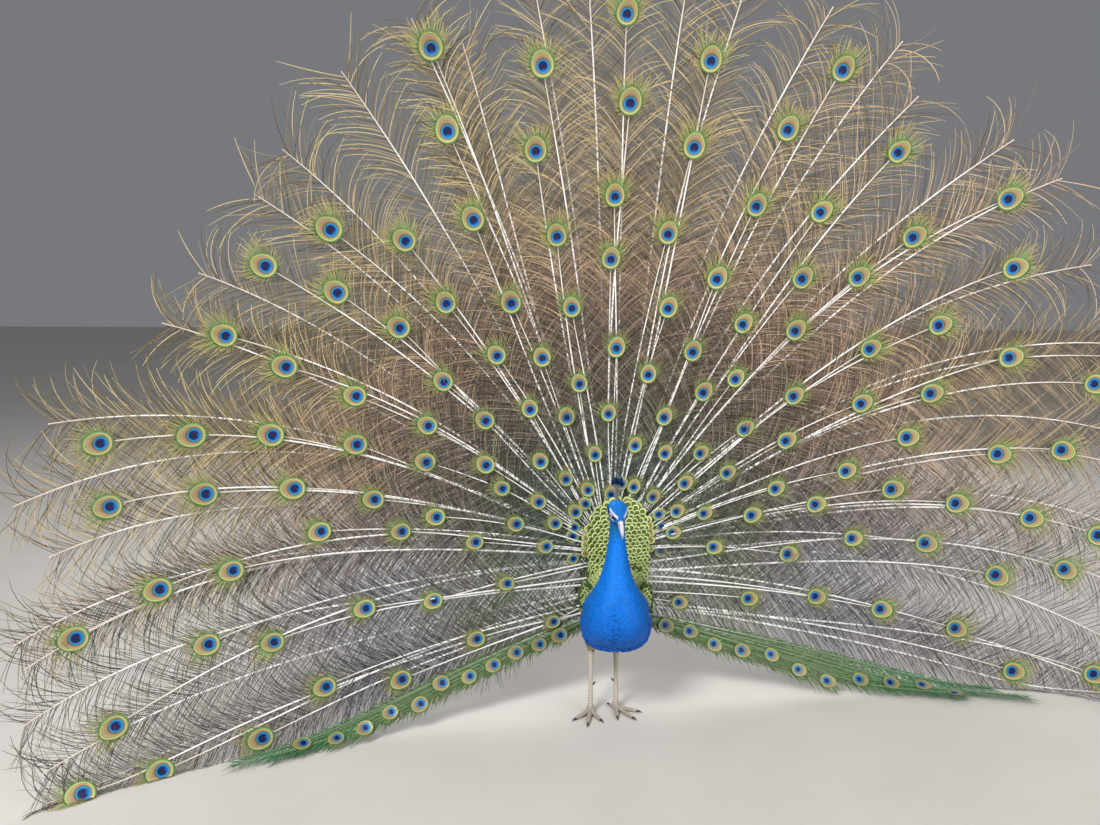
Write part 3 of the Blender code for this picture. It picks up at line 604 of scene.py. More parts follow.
def add_barbs(batch, feather, detail):
    """The loose barbs down both sides of a feather."""
    draw = np.random.default_rng(feather.seed)
    last = feather.reach - 0.012
    for sign in (-1.0, 1.0):
        reach = barb_reaches(feather, BARE_ROOT, last, detail)
        count = len(reach)
        reach = reach + draw.uniform(-0.002, 0.002, count)
        share = reach / feather.reach
        grow = soft_step((reach + 0.02) / 0.34)
        length = BARB_LENGTH * (0.30 + 0.70 * grow) * (1 - 0.25 * soft_step((share - 0.75) / 0.25))
        fine = draw.uniform(0, 1, count) < FINE_SHARE
        length = length * draw.uniform(0.80, 1.15, count) * np.where(fine, 0.8, 1.0)
        drift = np.cumsum(draw.normal(0, 0.8, count))
        drift = drift - np.linspace(0, drift[-1], count)
        lean = np.radians(BARB_LEAN - 10 * share + drift + draw.normal(0, 2.2, count) + 8 * fine)
        arch = BARB_ARCH[0] + BARB_ARCH[1] * feather.droop + draw.normal(0, 5.0, count)
        turn = np.radians(np.where(fine, draw.normal(6, 5, count), -arch) + drift)
        if feather.kind == "fork":
            end = soft_step((share - 0.80) / 0.20)
            lean = lean + np.radians(draw.normal(4, 9, count)) * end
            turn = turn + np.radians(draw.normal(-6, 22, count)) * end
            length = length * (1 + 0.25 * end)
        step = np.linspace(0, 1, BARB_POINTS)[None]
        wave = draw.normal(0, 0.0032, count)[:, None] * step
        sag = 0.30 * step ** 2 * length[:, None] ** 2
        half = BARB_HALF * (1 - 0.60 * step ** 2) * np.where(fine, 0.72, 1.0)[:, None]
        noise = draw.uniform(0, 1, count) ** 1.4 * np.where(fine, 0.45, 1.0)
        tints = barb_tints(feather, reach[:, None], step, noise[:, None])
        add_ribbons(batch, feather.frame(reach), sign, lean, turn, length, wave + sag - 0.001,
                    half, tints, chart_place(feather, reach, sign))


def add_shaft(batch, feather):
    """The pale quill, a four-sided tapering rod."""
    end = feather.reach - (0.0 if feather.kind == "fork" else 0.014)
    reach = np.linspace(0.012, end, max(int(end / SHAFT_STEP), 5))
    place, _, side, front = feather.frame(reach)
    share = reach / end
    size = SHAFT_SIZE * (1 - 0.58 * share) * (0.62 + 0.38 * min(feather.reach, 1.2))
    turns = np.arange(4) * pi / 2 + pi / 4
    points = ring_round(place + front * SHAFT_AHEAD, side, front, turns, size[:, None])
    points[..., 2] = np.maximum(points[..., 2], FLOOR_REST)
    tone = mix(SHAFT, SHAFT_BROWN, 0.65 * soft_step((share - 0.84) / 0.16))
    if feather.kind == "edge":
        tone = mix(tone, MEADOW, 0.35 + 0.55 * soft_step(share / 0.5))
    corner = join(np.cos(turns), np.sin(turns)) * 0.0012
    batch.add(points[None], tone[:, None], chart_place(feather, reach)[:, None] + corner,
              closed=True)


# ---- eyes of the train ---------------------------------------------------------------------
# half width, half height, height of the middle and colour of each edge, from the heart out
EYE_RINGS = (
    (0.02, 0.02, -0.16, paint(14, 18, 70)),
    (0.34, 0.37, -0.20, paint(12, 22, 80)),
    (0.40, 0.42, -0.22, paint(14, 46, 130)),
    (0.44, 0.45, -0.24, paint(10, 112, 186)),
    (0.58, 0.58, -0.26, paint(38, 154, 202)),
    (0.62, 0.62, -0.26, paint(34, 118, 112)),
    (0.66, 0.66, -0.25, paint(112, 80, 48)),
    (0.71, 0.74, -0.19, paint(162, 136, 98)),
    (0.86, 1.02, 0.00, paint(188, 166, 124)),
    (0.90, 1.07, 0.01, paint(126, 124, 70)),
    (0.93, 1.11, 0.02, paint(218, 226, 136)),
    (0.965, 1.15, 0.02, paint(208, 222, 126)),
    (1.00, 1.19, 0.02, paint(116, 150, 86)),
    (1.10, 1.30, 0.00, paint(112, 142, 88)),
)
DULL = paint(112, 98, 78)
EYE_BACK = ((1.13, 1.34, 0.0, DULL), (0.60, 0.70, 0.0, DULL), (0.02, 0.02, 0.0, DULL))
HEART = (0.1, 0.43)               # half widths between which the heart's rings are notched
PLATE = 0.68                      # half width from which the rings are egg-shaped
EYE_SIDES = 26
EYE_CELLS = 6                     # eyes stand in a square chart of this many cells a side
EYE_SMALLEST = 0.0156             # half width of the innermost eyes' rings
EYE_GROWTH = 0.0102
EDGE_EYE = 0.0180
EYE_AHEAD = 0.0050                # the plates stand this far in front of the feather's line
FRINGE = {"eye": 92, "edge": 44}  # barbs round one eye
EYE_SPOTS = []                    # where the train's eyes have been put


def eye_size(feather):
    if feather.kind == "edge":
        return EDGE_EYE
    return EYE_SMALLEST + EYE_GROWTH * float(soft_step(feather.reach / 1.3)) ** 0.6


def add_eye(batch, feather, cell):
    """The eye's plate, whose rows of points follow the edges of its coloured rings."""
    place, along, side, front = feather.frame_at_eye()
    EYE_SPOTS.append(place)
    draw = np.random.default_rng(feather.seed + 7)
    size = eye_size(feather) * draw.uniform(0.94, 1.06)
    turn = draw.normal(0, 0.12)
    side, along = side * cos(turn) + along * sin(turn), along * cos(turn) - side * sin(turn)
    angle = np.arange(EYE_SIDES) * 2 * pi / EYE_SIDES
    rows = []
    tones = []
    for wide, tall, middle, tone in EYE_RINGS + EYE_BACK:
        dent = 1 - 0.55 * np.exp(-((angle - 1.5 * pi) / 0.36) ** 2) * (HEART[0] < wide < HEART[1])
        egg = 1 - 0.10 * np.sin(angle) * (wide > PLATE)
        rows.append(join(wide * np.cos(angle) * dent * egg, middle + tall * np.sin(angle) * dent))
        dulled = feather.kind == "edge" and wide > PLATE
        tones.append(mix(tone, OLIVE * 0.55, 0.45) if dulled else tone)
    flat = np.array(rows)
    x = flat[..., 0]
    y = flat[..., 1]
    dish = 0.10 * (x ** 2 + y ** 2) - 0.05 * x ** 2
    wave = 0.016 * np.sin(9 * x + draw.uniform(0, 6)) * np.clip(np.hypot(x, y) - 0.3, 0, 1)
    behind = np.repeat([0.0, -0.0010], [len(EYE_RINGS), len(EYE_BACK)])[:, None]
    points = (place + side * (x * size)[..., None] + along * (y * size)[..., None]
              + front * (EYE_AHEAD + behind + (dish + wave) * size)[..., None])
    points[..., 2] = np.maximum(points[..., 2], FLOOR_REST)
    corner = np.array([cell % EYE_CELLS, cell // EYE_CELLS])
    chart = (flat * 0.40 / 1.4 + 0.5 + corner) / EYE_CELLS
    shade = draw.uniform(0.90, 1.08)
    batch.add(points[None], np.array(tones)[:, None] * shade, chart[None], closed=True)


def add_fringe(batch, feather, detail):
    """The green and gold barbs that stand out round an eye."""
    draw = np.random.default_rng(feather.seed + 11)
    eyed = feather.kind == "eye"
    count = int(FRINGE[feather.kind] / detail)
    place, along, side, front = feather.frame_at_eye()
    size = eye_size(feather)
    turn = np.radians(np.linspace(-168, 168, count) + draw.normal(0, 1.5, count))
    x = np.sin(turn)
    y = np.cos(turn)
    start = place + side * (x * size * 0.9)[:, None] + along * (y * size * 1.08)[:, None]
    longest = (0.013 + 0.029 * soft_step(feather.reach / 1.2)) if eyed else 0.016
    length = longest * (0.50 + 0.80 * np.exp(-((np.abs(turn) - 0.9) / 0.75) ** 2))
    length = length * draw.uniform(0.65, 1.20, count)
    lean = np.abs(turn) * 0.74 + draw.normal(0, 0.10, count)
    bend = np.radians(6 + 20 * np.abs(x) + draw.normal(0, 12, count))
    share = np.linspace(0, 1, 5)[None]
    wave = draw.normal(0, 0.003, count)[:, None] * share
    # The tips turn golder on the outer feathers and, as painted sunlight and sheen, towards the fan's
    # top.
    up = max(cos(radians(feather.angle)), 0.0)
    outer = soft_step((feather.reach - 0.5) / 0.5)
    tip = mix(OLIVE, GOLD, outer * (0.35 + 0.5 * up)) if eyed else MEADOW
    tone = mix(HALO, tip, soft_step(share * 1.2))
    tone = tone * draw.uniform(0.65, 1.20, count)[:, None, None]
    spot = chart_place(feather, np.full(count, feather.reach)) + join(x * 0.008, y * 0.012)
    add_ribbons(batch, (start, along[None], side[None], front[None]),
                np.where(x >= 0, 1.0, -1.0)[:, None], lean, bend, length, 0.0026 + wave,
                0.0009 * (1 - 0.70 * share ** 1.5), tone, np.clip(spot, *MAP_EDGE))


def add_scimitar(batch, feather, detail):
    """The dense green vane of a feather on the train's lower edge, longer on its lower side."""
    draw = np.random.default_rng(feather.seed + 3)
    aside = feather.frame(np.array([0.5]))[2][0]
    wider = FAN.point(feather.angle + 1.0, 0.5) - FAN.point(feather.angle - 1.0, 0.5)
    lower = np.sign(feather.angle) * (1.0 if float(np.dot(aside, wider)) > 0 else -1.0)
    for way, size in zip((lower, -lower), VANE_WIDTHS):
        reach = np.arange(0.06, feather.reach + 0.010, VANE_STEP * detail)
        count = len(reach)
        share = reach / feather.reach
        length = size * soft_step((share + 0.1) / 0.5) * draw.uniform(0.70, 1.20, count)
        lean = np.radians(44 + draw.normal(0, 9, count))
        turn = np.radians(26 + draw.normal(0, 14, count))
        step = np.linspace(0, 1, 4)[None]
        lift = draw.normal(0.001, 0.003, count)[:, None] * step
        bright = soft_step((reach[:, None] - 0.55) / 0.5)
        tone = mix(mix(SAGE, MEADOW, soft_step(share[:, None] / 0.4)), EMERALD, bright * 0.9)
        tone = mix(tone, OLIVE, draw.uniform(0.0, 0.45, count)[:, None] * (1 - 0.8 * bright))
        tone = tone * draw.uniform(0.45, 1.05, count)[:, None, None]
        add_ribbons(batch, feather.frame(reach), way, lean, turn, length, lift,
                    0.0011 * (1 - 0.6 * step ** 2), tone, chart_place(feather, reach, way))


def grow_feathers(feathers, group, name, slot, *nodes):
    """A piece of barbs, one of shafts and one of eyes for some of the feathers of a group."""
    detail = 1.0
    barbs, shafts, eyes = Batch(), Batch(), Batch()
    for feather in feathers:
        add_vane = add_scimitar if feather.kind == "edge" else add_barbs
        add_vane(barbs, feather, detail)
        add_shaft(shafts, feather)
    for cell, feather in enumerate(f for f in feathers if f.has_eye()):
        add_eye(eyes, feather, cell)
        add_fringe(barbs, feather, detail)
    barbs.make(f"{group}_barbs_{name}", "train_barb", slot, *nodes)
    shafts.make(f"{group}_shafts_{name}", "train_quill", slot)
    eyes.make(f"{group}_eyes_{name}", "train_eye", slot)


def make_train():
    feathers = plan_train()
    main = sorted((f for f in feathers if f.kind != "edge"), key=lambda f: f.angle)
    span = TRAIN_SPREAD + 4
    for sector in range(SECTORS):
        low = -span + sector * 2 * span / SECTORS
        own = [f for f in main if low <= f.angle < low + 2 * span / SECTORS]
        first, last = [2 + round(k * BLADES / SECTORS) for k in (sector, sector + 1)]
        grow_feathers(own, "train", sector + 1, "train_olive",
                      *[f"train_{k:02d}" for k in range(first, last)])
    for name, sign, node in (("right", -1, "train_01"), ("left", 1, "train_22")):
        own = [f for f in feathers if f.kind == "edge" and f.angle * sign > 0]
        grow_feathers(own, "edge", name, "edge_green", node)


# ---- skin ----------------------------------------------------------------------------------
SKIN_VOXEL = 0.0028
SKIN_SWELL = 0.0013               # closes the gaps between the solids before they are joined

AZURE = paint(0, 120, 226)
COBALT = paint(0, 96, 196)
TEAL = paint(10, 96, 138)
CROWN = paint(30, 132, 208)
BELLY = paint(34, 44, 44)
BRONZE = paint(88, 96, 40)
MOSS = paint(58, 82, 40)
LIME = paint(222, 236, 160)
BUFF = paint(192, 172, 142)
DARK_BAR = paint(60, 48, 40)
ASH = paint(112, 102, 90)
WHITE = paint(238, 240, 242)
NIGHT = paint(10, 16, 34)
CHESTNUT = paint(150, 86, 48)
HORN = paint(198, 188, 172)
HORN_DARK = paint(122, 110, 98)
CLAW = paint(64, 56, 52)
LILAC_BILL = paint(206, 202, 214)

# the solids that the skin takes up, and its colour over each
FLESH = {
    "rump": BRONZE, "trunk": BELLY, "breast": COBALT, "neck_lower": AZURE, "neck_upper": TEAL,
    "head": CROWN, "mantle": MOSS, "train_base": BRONZE, "vent": ASH, "thigh_left": BUFF,
    "thigh_right": BUFF, "wing_left": MOSS, "wing_right": MOSS,
}


def node_mesh(name):
    """A solid's corners and triangles as arrays, with coinciding corners joined."""
    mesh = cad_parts[name].data
    mesh.calc_loop_triangles()
    corners = np.empty(len(mesh.vertices) * 3)
    mesh.vertices.foreach_get("co", corners)
    faces = np.empty(len(mesh.loop_triangles) * 3, np.int32)
    mesh.loop_triangles.foreach_get("vertices", faces)
    corners, same = np.unique(np.round(corners.reshape(-1, 3), 6), axis=0, return_inverse=True)
    return corners, same.reshape(-1)[faces].reshape(-1, 3)


def corner_normals(corners, faces):
    a, b, c = [corners[faces[:, k]] for k in range(3)]
    normals = np.zeros_like(corners)
    for k in range(3):
        np.add.at(normals, faces[:, k], np.cross(b - a, c - a))
    return unit(normals)


def one_mesh(shapes):
    """The corners and triangles of several meshes as those of one."""
    starts = np.cumsum([0] + [len(corners) for corners, _ in shapes])
    faces = [triangles + start for (_, triangles), start in zip(shapes, starts)]
    return np.concatenate([corners for corners, _ in shapes]), np.concatenate(faces)


def search_tree(points):
    tree = KDTree(len(points))
    for k, point in enumerate(points):
        tree.insert(point, k)
    tree.balance()
    return tree


def make_skin():
    """One closed skin over all the flesh, a coat's depth inside the solids."""
    shapes = [node_mesh(name) for name in FLESH]
    corners, triangles = one_mesh(shapes)
    labels = search_tree(corners)
    tones = np.repeat(list(FLESH.values()), [len(shape[0]) for shape in shapes], axis=0)
    swell = np.concatenate([corner_normals(*shape) for shape in shapes]) * SKIN_SWELL
    mesh = bpy.data.meshes.new("skin")
    mesh.from_pydata((corners + swell).tolist(), [], triangles.tolist())
    skin = bpy.data.objects.new("skin", mesh)
    bpy.context.scene.collection.objects.link(skin)
    weld = skin.modifiers.new("one_body", "REMESH")
    weld.mode = "VOXEL"
    weld.voxel_size = SKIN_VOXEL
    ease = skin.modifiers.new("ease", "SMOOTH")
    ease.factor = 0.5
    ease.iterations = 8
    sink = skin.modifiers.new("sink", "DISPLACE")
    sink.mid_level = 0.0
    sink.strength = -(COAT_DEPTH + SKIN_SWELL)
    graph = bpy.context.evaluated_depsgraph_get()
    done = bpy.data.meshes.new_from_object(skin.evaluated_get(graph))
    skin.modifiers.clear()
    skin.data = done
    done.name = "skin"
    done.materials.clear()
    done.materials.append(look_from_tint("skin"))
    done.shade_smooth()
    tint_mesh(done, np.array([tones[labels.find(vertex.co)[1]] for vertex in done.vertices]))
    bpy.context.view_layer.objects.active = skin
    skin.select_set(True)
    done.uv_layers.new(name="OFBake")
    bpy.ops.object.mode_set(mode="EDIT")
    bpy.ops.mesh.select_all(action="SELECT")
    bpy.ops.uv.smart_project(angle_limit=radians(60), island_margin=0.002)
    bpy.ops.object.mode_set(mode="OBJECT")
    skin.select_set(False)
    return enlist(skin, "belly_dark", *FLESH).data


class SkinChart:
    """Finds a place on the skin's unwrap for any point near the skin."""

    def __init__(self, mesh):
        places = np.empty(len(mesh.loops) * 2)
        mesh.uv_layers["OFBake"].data.foreach_get("uv", places)
        owner = np.empty(len(mesh.loops), np.int32)
        mesh.loops.foreach_get("vertex_index", owner)
        self.places = np.zeros((len(mesh.vertices), 2))
        self.places[owner] = places.reshape(-1, 2)
        self.tree = search_tree([vertex.co for vertex in mesh.vertices])

    def find(self, points):
        near = [self.tree.find(point)[1] for point in points]
        return np.clip(self.places[near], *MAP_EDGE)


# ---- small feathers over the body ----------------------------------------------------------
FEATHER_ROWS = np.array([0.0, 0.35, 0.65, 0.88, 1.0])
FEATHER_HALF = np.array([0.50, 0.96, 1.0, 0.66, 0.08])
APRON = 0.006                     # how far the breast's lowest feathers puff out at the corners
NECK_FOOT = 0.40                  # height from which the neck leans over to the head's middle


def squared(value, power):
    """A sine or cosine raised to a power below 1, which squares up a round section."""
    return np.sign(value) * np.maximum(np.abs(value), 1e-6) ** power


def body_surface(place, turn, grow=0.0):
    """A point of the body: place counts rings, turn 0 is the breast side, grow is outward."""
    values = between_rows(BODY_RINGS, place)
    y, z, pitch, half, below, above = [values[..., k] for k in range(6)]
    lean = np.radians(pitch)
    share = np.clip((z - NECK_FOOT) / (HEAD_CENTRE[2] - NECK_FOOT), 0, 1)
    depth = np.where(np.cos(turn) > 0, below, above) + grow
    square = 1 - BREAST_SQUARE * soft_step((place - 1.0) / 1.5) * soft_step((7.5 - place) / 2.0)
    square = np.where(np.cos(turn) > 0, square, 1.0)
    x = BODY_X + (HEAD_X - BODY_X) * share + (half + grow) * squared(np.sin(turn), square)
    down = depth * squared(np.cos(turn), square)
    return join(x, y - np.sin(lean) * down, z - np.cos(lean) * down) + SHIFT


def puffed(place, turn, grow=0.0):
    """The body with the plumage puffed out at the lower corners of the breast."""
    wrapped = np.abs((turn + pi) % (2 * pi) - pi)
    corner = np.exp(-((wrapped - 0.95) / 0.38) ** 2)
    low = soft_step((place - 1.2) / 1.4) * soft_step((5.4 - place) / 1.6)
    return body_surface(place, turn, grow + APRON * corner * low)


def head_size(place):
    """Half width and half height of the head along its axis."""
    row = np.interp(place, HEAD_RINGS[:, 0], np.arange(len(HEAD_RINGS)))
    values = between_rows(HEAD_RINGS, row)
    return values[..., 1], values[..., 2]


def from_head(points):
    """From the head's frame to the scene."""
    pose = np.array(head_frame())
    return points @ pose[:3, :3].T + pose[:3, 3] + SHIFT


def head_surface(place, turn, grow=0.0):
    """A point of the head: place runs from nape to face, turn 0 is the crown."""
    half, tall = head_size(place)
    return from_head(join((half + grow) * np.sin(turn), place, (tall + grow) * np.cos(turn)))


def lay_feathers(batch, surface, chart, place, turn, length, width, back, stand, tones, fold=0.22):
    """Small feathers on a surface, each bent to it from its root towards its tip.

    place and turn are the roots, back is the change of place per metre along the lie,
    stand is how far the tip lifts, tones holds the root and tip colour of each.
    """
    rows = FEATHER_ROWS[:, None]
    across = np.array([-1.0, 0.0, 1.0])
    where = place[:, None, None] + rows * (length * back)[:, None, None] + 0 * across
    here = surface(place, turn)
    beside = surface(place, turn + 0.02)
    spread = 0.02 / np.maximum(np.linalg.norm(beside - here, axis=-1), 1e-5)
    half = FEATHER_HALF[:, None] * np.full(len(place), width)[:, None, None] / 2
    around = turn[:, None, None] + across * half * spread[:, None, None]
    height = -COAT_DEPTH + (COAT_DEPTH + stand)[:, None, None] * rows ** 0.8
    height = height + (1 - np.abs(across)) * half * fold
    tints = mix(tones[0][:, None, None], tones[1][:, None, None], rows)
    places = chart.find(here)[:, None, None] + tuft_patch(across, FEATHER_ROWS)
    batch.add(surface(where, around, height), tints, places)


def loose_feathers(batch, chart, places, out, flow, length, width, stand, tones, droop=0.0):
    """Feathers on their own tangent planes, pointing along the flow."""
    flow = unit(flow - out * np.sum(flow * out, axis=1, keepdims=True))
    rows = FEATHER_ROWS
    ahead = rows[:, None] * length[:, None, None]
    rise = np.full(len(places), stand)[:, None] * rows ** 1.3 - COAT_DEPTH * (1 - rows)
    lines = places[:, None] + flow[:, None] * ahead + out[:, None] * rise[..., None]
    lines[..., 2] -= droop * rows ** 2 * length[:, None]
    half = FEATHER_HALF * np.full(len(places), width)[:, None] / 2
    side = unit(np.cross(out, flow))[:, None] + 0 * lines
    tones = tones if tones.ndim == 3 else np.repeat(tones[:, None], len(rows), axis=1)
    batch.add(*vanes(lines, side, half, tones, chart.find(places), 0.25, out[:, None] + 0 * lines))


def body_rows(first, last, span, sizes, gap, spacing):
    """Staggered roots of feathers over a stretch of the body, and their sizes."""
    rows = []
    place = first
    while place > last:
        size = np.interp(place, span, sizes)
        here, there = between_rows(BODY_RINGS, np.array([place, place - 0.1]))
        around = 2 * pi * (here[3] + (here[4] + here[5]) / 2) / 2
        count = max(int(around / (size * spacing)), 8)
        turn = (np.arange(count) + 0.5 * (len(rows) % 2)) * 2 * pi / count
        rows.append((place + random.normal(0, 0.03, count),
                     turn + random.normal(0, 0.10, count) * 2 * pi / count,
                     size * random.uniform(0.88, 1.12, count)))
        metres = np.hypot(*(here - there)[:2]) / 0.1
        place -= size * gap / max(metres, 0.008)
    return [np.concatenate(column) for column in zip(*rows)]


def body_tones(place, turn):
    """The neck's and breast's blue, the dark belly, and the bronze of the rump."""
    front = 0.5 + 0.5 * np.cos(turn)
    blue = mix(AZURE, COBALT, soft_step((8.0 - place) / 4.4))
    # Painted shade: the front of the neck turns darker teal under the head and bill.
    blue = mix(blue, TEAL, soft_step((place - 9.9) / 1.4) * front * 0.80)
    blue = mix(blue, TEAL, 0.40 * (1 - front))
    blue_edge = 2.9 + 2.4 * soft_step((0.60 - front) / 0.4)
    lower = soft_step((blue_edge - place) / 0.35)
    dark = mix(BELLY, BRONZE, soft_step((1 - 2 * front) * 0.5 + 0.5) * soft_step(2.2 - place))
    scaled = lower * soft_step((0.55 - front) / 0.2) * soft_step((place - 1.8) / 0.8)
    tone = mix(blue, dark, lower)
    return mix(tone, MOSS, scaled) * 0.62, mix(tone, LIME, scaled * 0.75) * 1.10


# first and last place of each stretch of the body, and its feathers' sizes over a span of places
BODY_COATS = (
    ("coat_neck", "neck_blue", 12.0, 7.6, (7.6, 12.0), (0.0088, 0.0050)),
    ("coat_breast", "breast_blue", 7.7, 4.3, (4.3, 7.7), (0.0118, 0.0088)),
    ("coat_trunk", "belly_dark", 4.4, 0.15, (2.0, 4.4), (0.0185, 0.0120)),
)


def make_body_coat(chart):
    thin = 1.0
    for name, slot, first, last, span, sizes in BODY_COATS:
        place, turn, size = body_rows(first, last, span, sizes, gap=0.34 * thin,
                                      spacing=0.50 * thin)
        root, tip = body_tones(place, turn)
        shade = random.uniform(0.82, 1.14, len(place))[:, None]
        metres = np.linalg.norm(puffed(place - 0.05, turn) - puffed(place, turn), axis=-1)
        back = -0.05 / np.maximum(metres, 0.0006)
        batch = Batch()
        lay_feathers(batch, puffed, chart, place, turn, length=size * 1.15, width=size * 0.80,
                     back=back, stand=0.0004 + 0.035 * size, tones=(root * shade, tip * shade))
        batch.make(name, "body_feather", slot)

    count = 2800
    turn = random.uniform(-1.45, 1.45, count)
    roots = puffed(random.uniform(2.5, 4.3, count), turn)
    outward = unit(roots - body_surface(np.full(count, 3.5), turn, -0.04))
    tone = COBALT * random.uniform(0.60, 1.10, count)[:, None]
    flow = np.array([0.0, 0.90, -0.35]) + random.normal(0, 0.12, (count, 3))
    batch = Batch()
    loose_feathers(batch, chart, roots, outward, flow, random.uniform(0.008, 0.013, count),
                   width=0.0046, stand=0.0009, tones=tone)
    batch.make("coat_apron", "body_feather", "breast_blue")


def on_face(x, y, z):
    """How white, and how black, the face is at a place in the head's frame."""
    beside = soft_step((np.abs(x) - 0.0085) / 0.004)
    line = 0.0045 + 0.10 * (y - EYE_PLACE[0])
    cheek = np.exp(-(((z - line + 0.0100 - 0.10 * np.abs(y - 0.006)) / 0.0040) ** 4))
    cheek = cheek * soft_step((y + 0.012) / 0.006) * soft_step((0.0285 - y) / 0.005) * beside
    brow = np.exp(-(((z - line - 0.0082 + 0.22 * np.maximum(y - 0.012, 0)) / 0.0023) ** 4))
    brow = brow * soft_step((y + 0.007) / 0.005) * soft_step((0.033 - y) / 0.004)
    white = np.clip(cheek + brow * soft_step((np.abs(x) - 0.0050) / 0.003), 0, 1)
    black = np.exp(-(((z - line) / 0.0046) ** 4)) * soft_step((y + 0.022) / 0.010) * beside
    return white, np.clip(black - white, 0, 1)


def make_head_coat(chart):
    rows = []
    for place in np.arange(0.0305, -0.0300, -0.0012):
        half, tall = head_size(place)
        count = max(int(2 * pi * (half + tall) / 2 / 0.00145), 8)
        rows.append((np.full(count, place),
                     (np.arange(count) + 0.5 * (len(rows) % 2)) * 2 * pi / count))
    place, turn = [np.concatenate(column) for column in zip(*rows)]
    half, tall = head_size(place)
    x = half * np.sin(turn)
    z = tall * np.cos(turn)
    to_eye = np.hypot(place - EYE_PLACE[0], z - EYE_PLACE[2])
    keep = (to_eye > EYE_RADIUS * 1.10) | (np.abs(x) < 0.010)
    place, turn, x, z = [values[keep] for values in (place, turn, x, z)]
    count = len(place)
    white, black = on_face(x, place, z)
    crown = mix(CROWN, AZURE, random.uniform(0, 1, count))
    # Painted shade: the lower side of the head, under the bill, turns darker teal.
    base = mix(crown, TEAL, soft_step((-z - 0.006) / 0.008))
    base = mix(mix(base, WHITE, white), NIGHT, black)
    shade = 1 + (random.uniform(0.70, 1.20, count) - 1) * (1 - white * 0.8)
    base = base * shade[:, None]
    plain = 1 - np.clip(white + black, 0, 1)
    batch = Batch()
    lay_feathers(batch, head_surface, chart, place, turn + random.normal(0, 0.03, count),
                 length=0.0038 - 0.0010 * white, width=0.0018, back=-1.0,
                 stand=0.0001 + 0.0011 * plain,
                 tones=(base * (0.55 + 0.35 * white[:, None]), base * 1.1), fold=0.35)
    batch.make("coat_head", "body_feather", "head_blue")


def scatter(name, count):
    """Seeded places over a solid's surface, with the way out at each."""
    corners, faces = node_mesh(name)
    normals = corner_normals(corners, faces)
    a, b, c = [corners[faces[:, k]] for k in range(3)]
    area = np.linalg.norm(np.cross(b - a, c - a), axis=1)
    pick = random.choice(len(faces), count, p=area / area.sum())
    u = np.sqrt(random.uniform(0, 1, count))[:, None]
    v = random.uniform(0, 1, count)[:, None]
    weights = (1 - u, u * (1 - v), u * v)
    places = sum(corner[pick] * weight for corner, weight in zip((a, b, c), weights))
    outs = sum(normals[faces[pick, k]] * weight for k, weight in enumerate(weights))
    return places, unit(outs)


def make_other_coats(chart):
    few = 1.0
    draw = random.uniform

    def cover(name, look, slot, solids, tones, flow, stray, long, wide, stand, droop=0.0):
        """Feathers over the solids; tones and flow give the colour and the lie at each root.

        stray is how much the lie varies, long the range of lengths, stand the tips' lift.
        """
        batch = Batch()
        for solid, number in solids:
            places, out = scatter(solid, int(number * few))
            count = len(places)
            tone = tones(places, count)
            lie = flow(places, out)
            if stray:
                lie = lie + random.normal(0, stray, (count, 3))
            length = draw(*long, count)
            lift = draw(*stand, count) if isinstance(stand, tuple) else stand
            loose_feathers(batch, chart, places, out, lie, length, wide, lift, tone, droop)
        batch.make(name, look, slot)

    def thigh_tones(places, count):
        tone = mix(BUFF, ASH, draw(0, 0.5, count)) * draw(0.8, 1.1, count)[:, None]
        return mix(tone, BELLY, soft_step((places[:, 2] - 0.196) / 0.012))

    def rump_tones(_, count):
        tone = mix(BRONZE, MOSS, draw(0, 1, count))
        return tone[:, None] * np.array([0.45, 0.8, 1.2, 1.5, 0.7])[:, None]

    def wing_tones(places, count):
        bars = np.array([0.35, 1.0, 0.30, 1.0, 0.45]) * draw(0.8, 1.1, count)[:, None]
        barred = mix(DARK_BAR, BUFF, np.clip(bars, 0, 1))
        green = MOSS * np.array([0.6, 0.7, 1.0, 1.4, 0.8])[:, None]
        return mix(barred, green, soft_step((0.030 + SHIFT[1] - places[:, 1]) / 0.02)[:, None])

    def vent_tones(_, count):
        return mix(ASH, BUFF, draw(0, 0.5, count)) * draw(0.6, 1.15, count)[:, None]

    def away_from_middle(places, _):
        middle = places.mean(axis=0)
        return (places - middle) * np.array([4.0, 0.4, 5.0]) + np.array([0, 0.35, 0.30])

    cover("coat_thighs", "body_fluff", "thigh_buff", (("thigh_left", 2300), ("thigh_right", 2300)),
          thigh_tones, lambda _, out: np.array([0.0, 0.35, -1.0]), stray=0.12,
          long=(0.006, 0.009), wide=0.0030, stand=0.0003)
    cover("coat_vent", "body_fluff", "vent_grey", (("vent", 4600),), vent_tones,
          lambda _, out: np.array([0.0, 0.7, -0.75]) + out * 0.5, stray=0.30,
          long=(0.020, 0.042), wide=0.0040, stand=(0.002, 0.012), droop=0.30)
    cover("coat_rump", "body_feather", "rump_green", (("train_base", 3400), ("rump", 1300)),
          rump_tones, away_from_middle, stray=0.0, long=(0.013, 0.020), wide=0.0115,
          stand=0.0010)
    cover("coat_wings", "body_feather", "wing_barred", (("wing_left", 1900), ("wing_right", 1900)),
          wing_tones, lambda _, out: np.array([0.0, 1.0, -0.25]), stray=0.06,
          long=(0.014, 0.019), wide=0.0095, stand=0.0008)


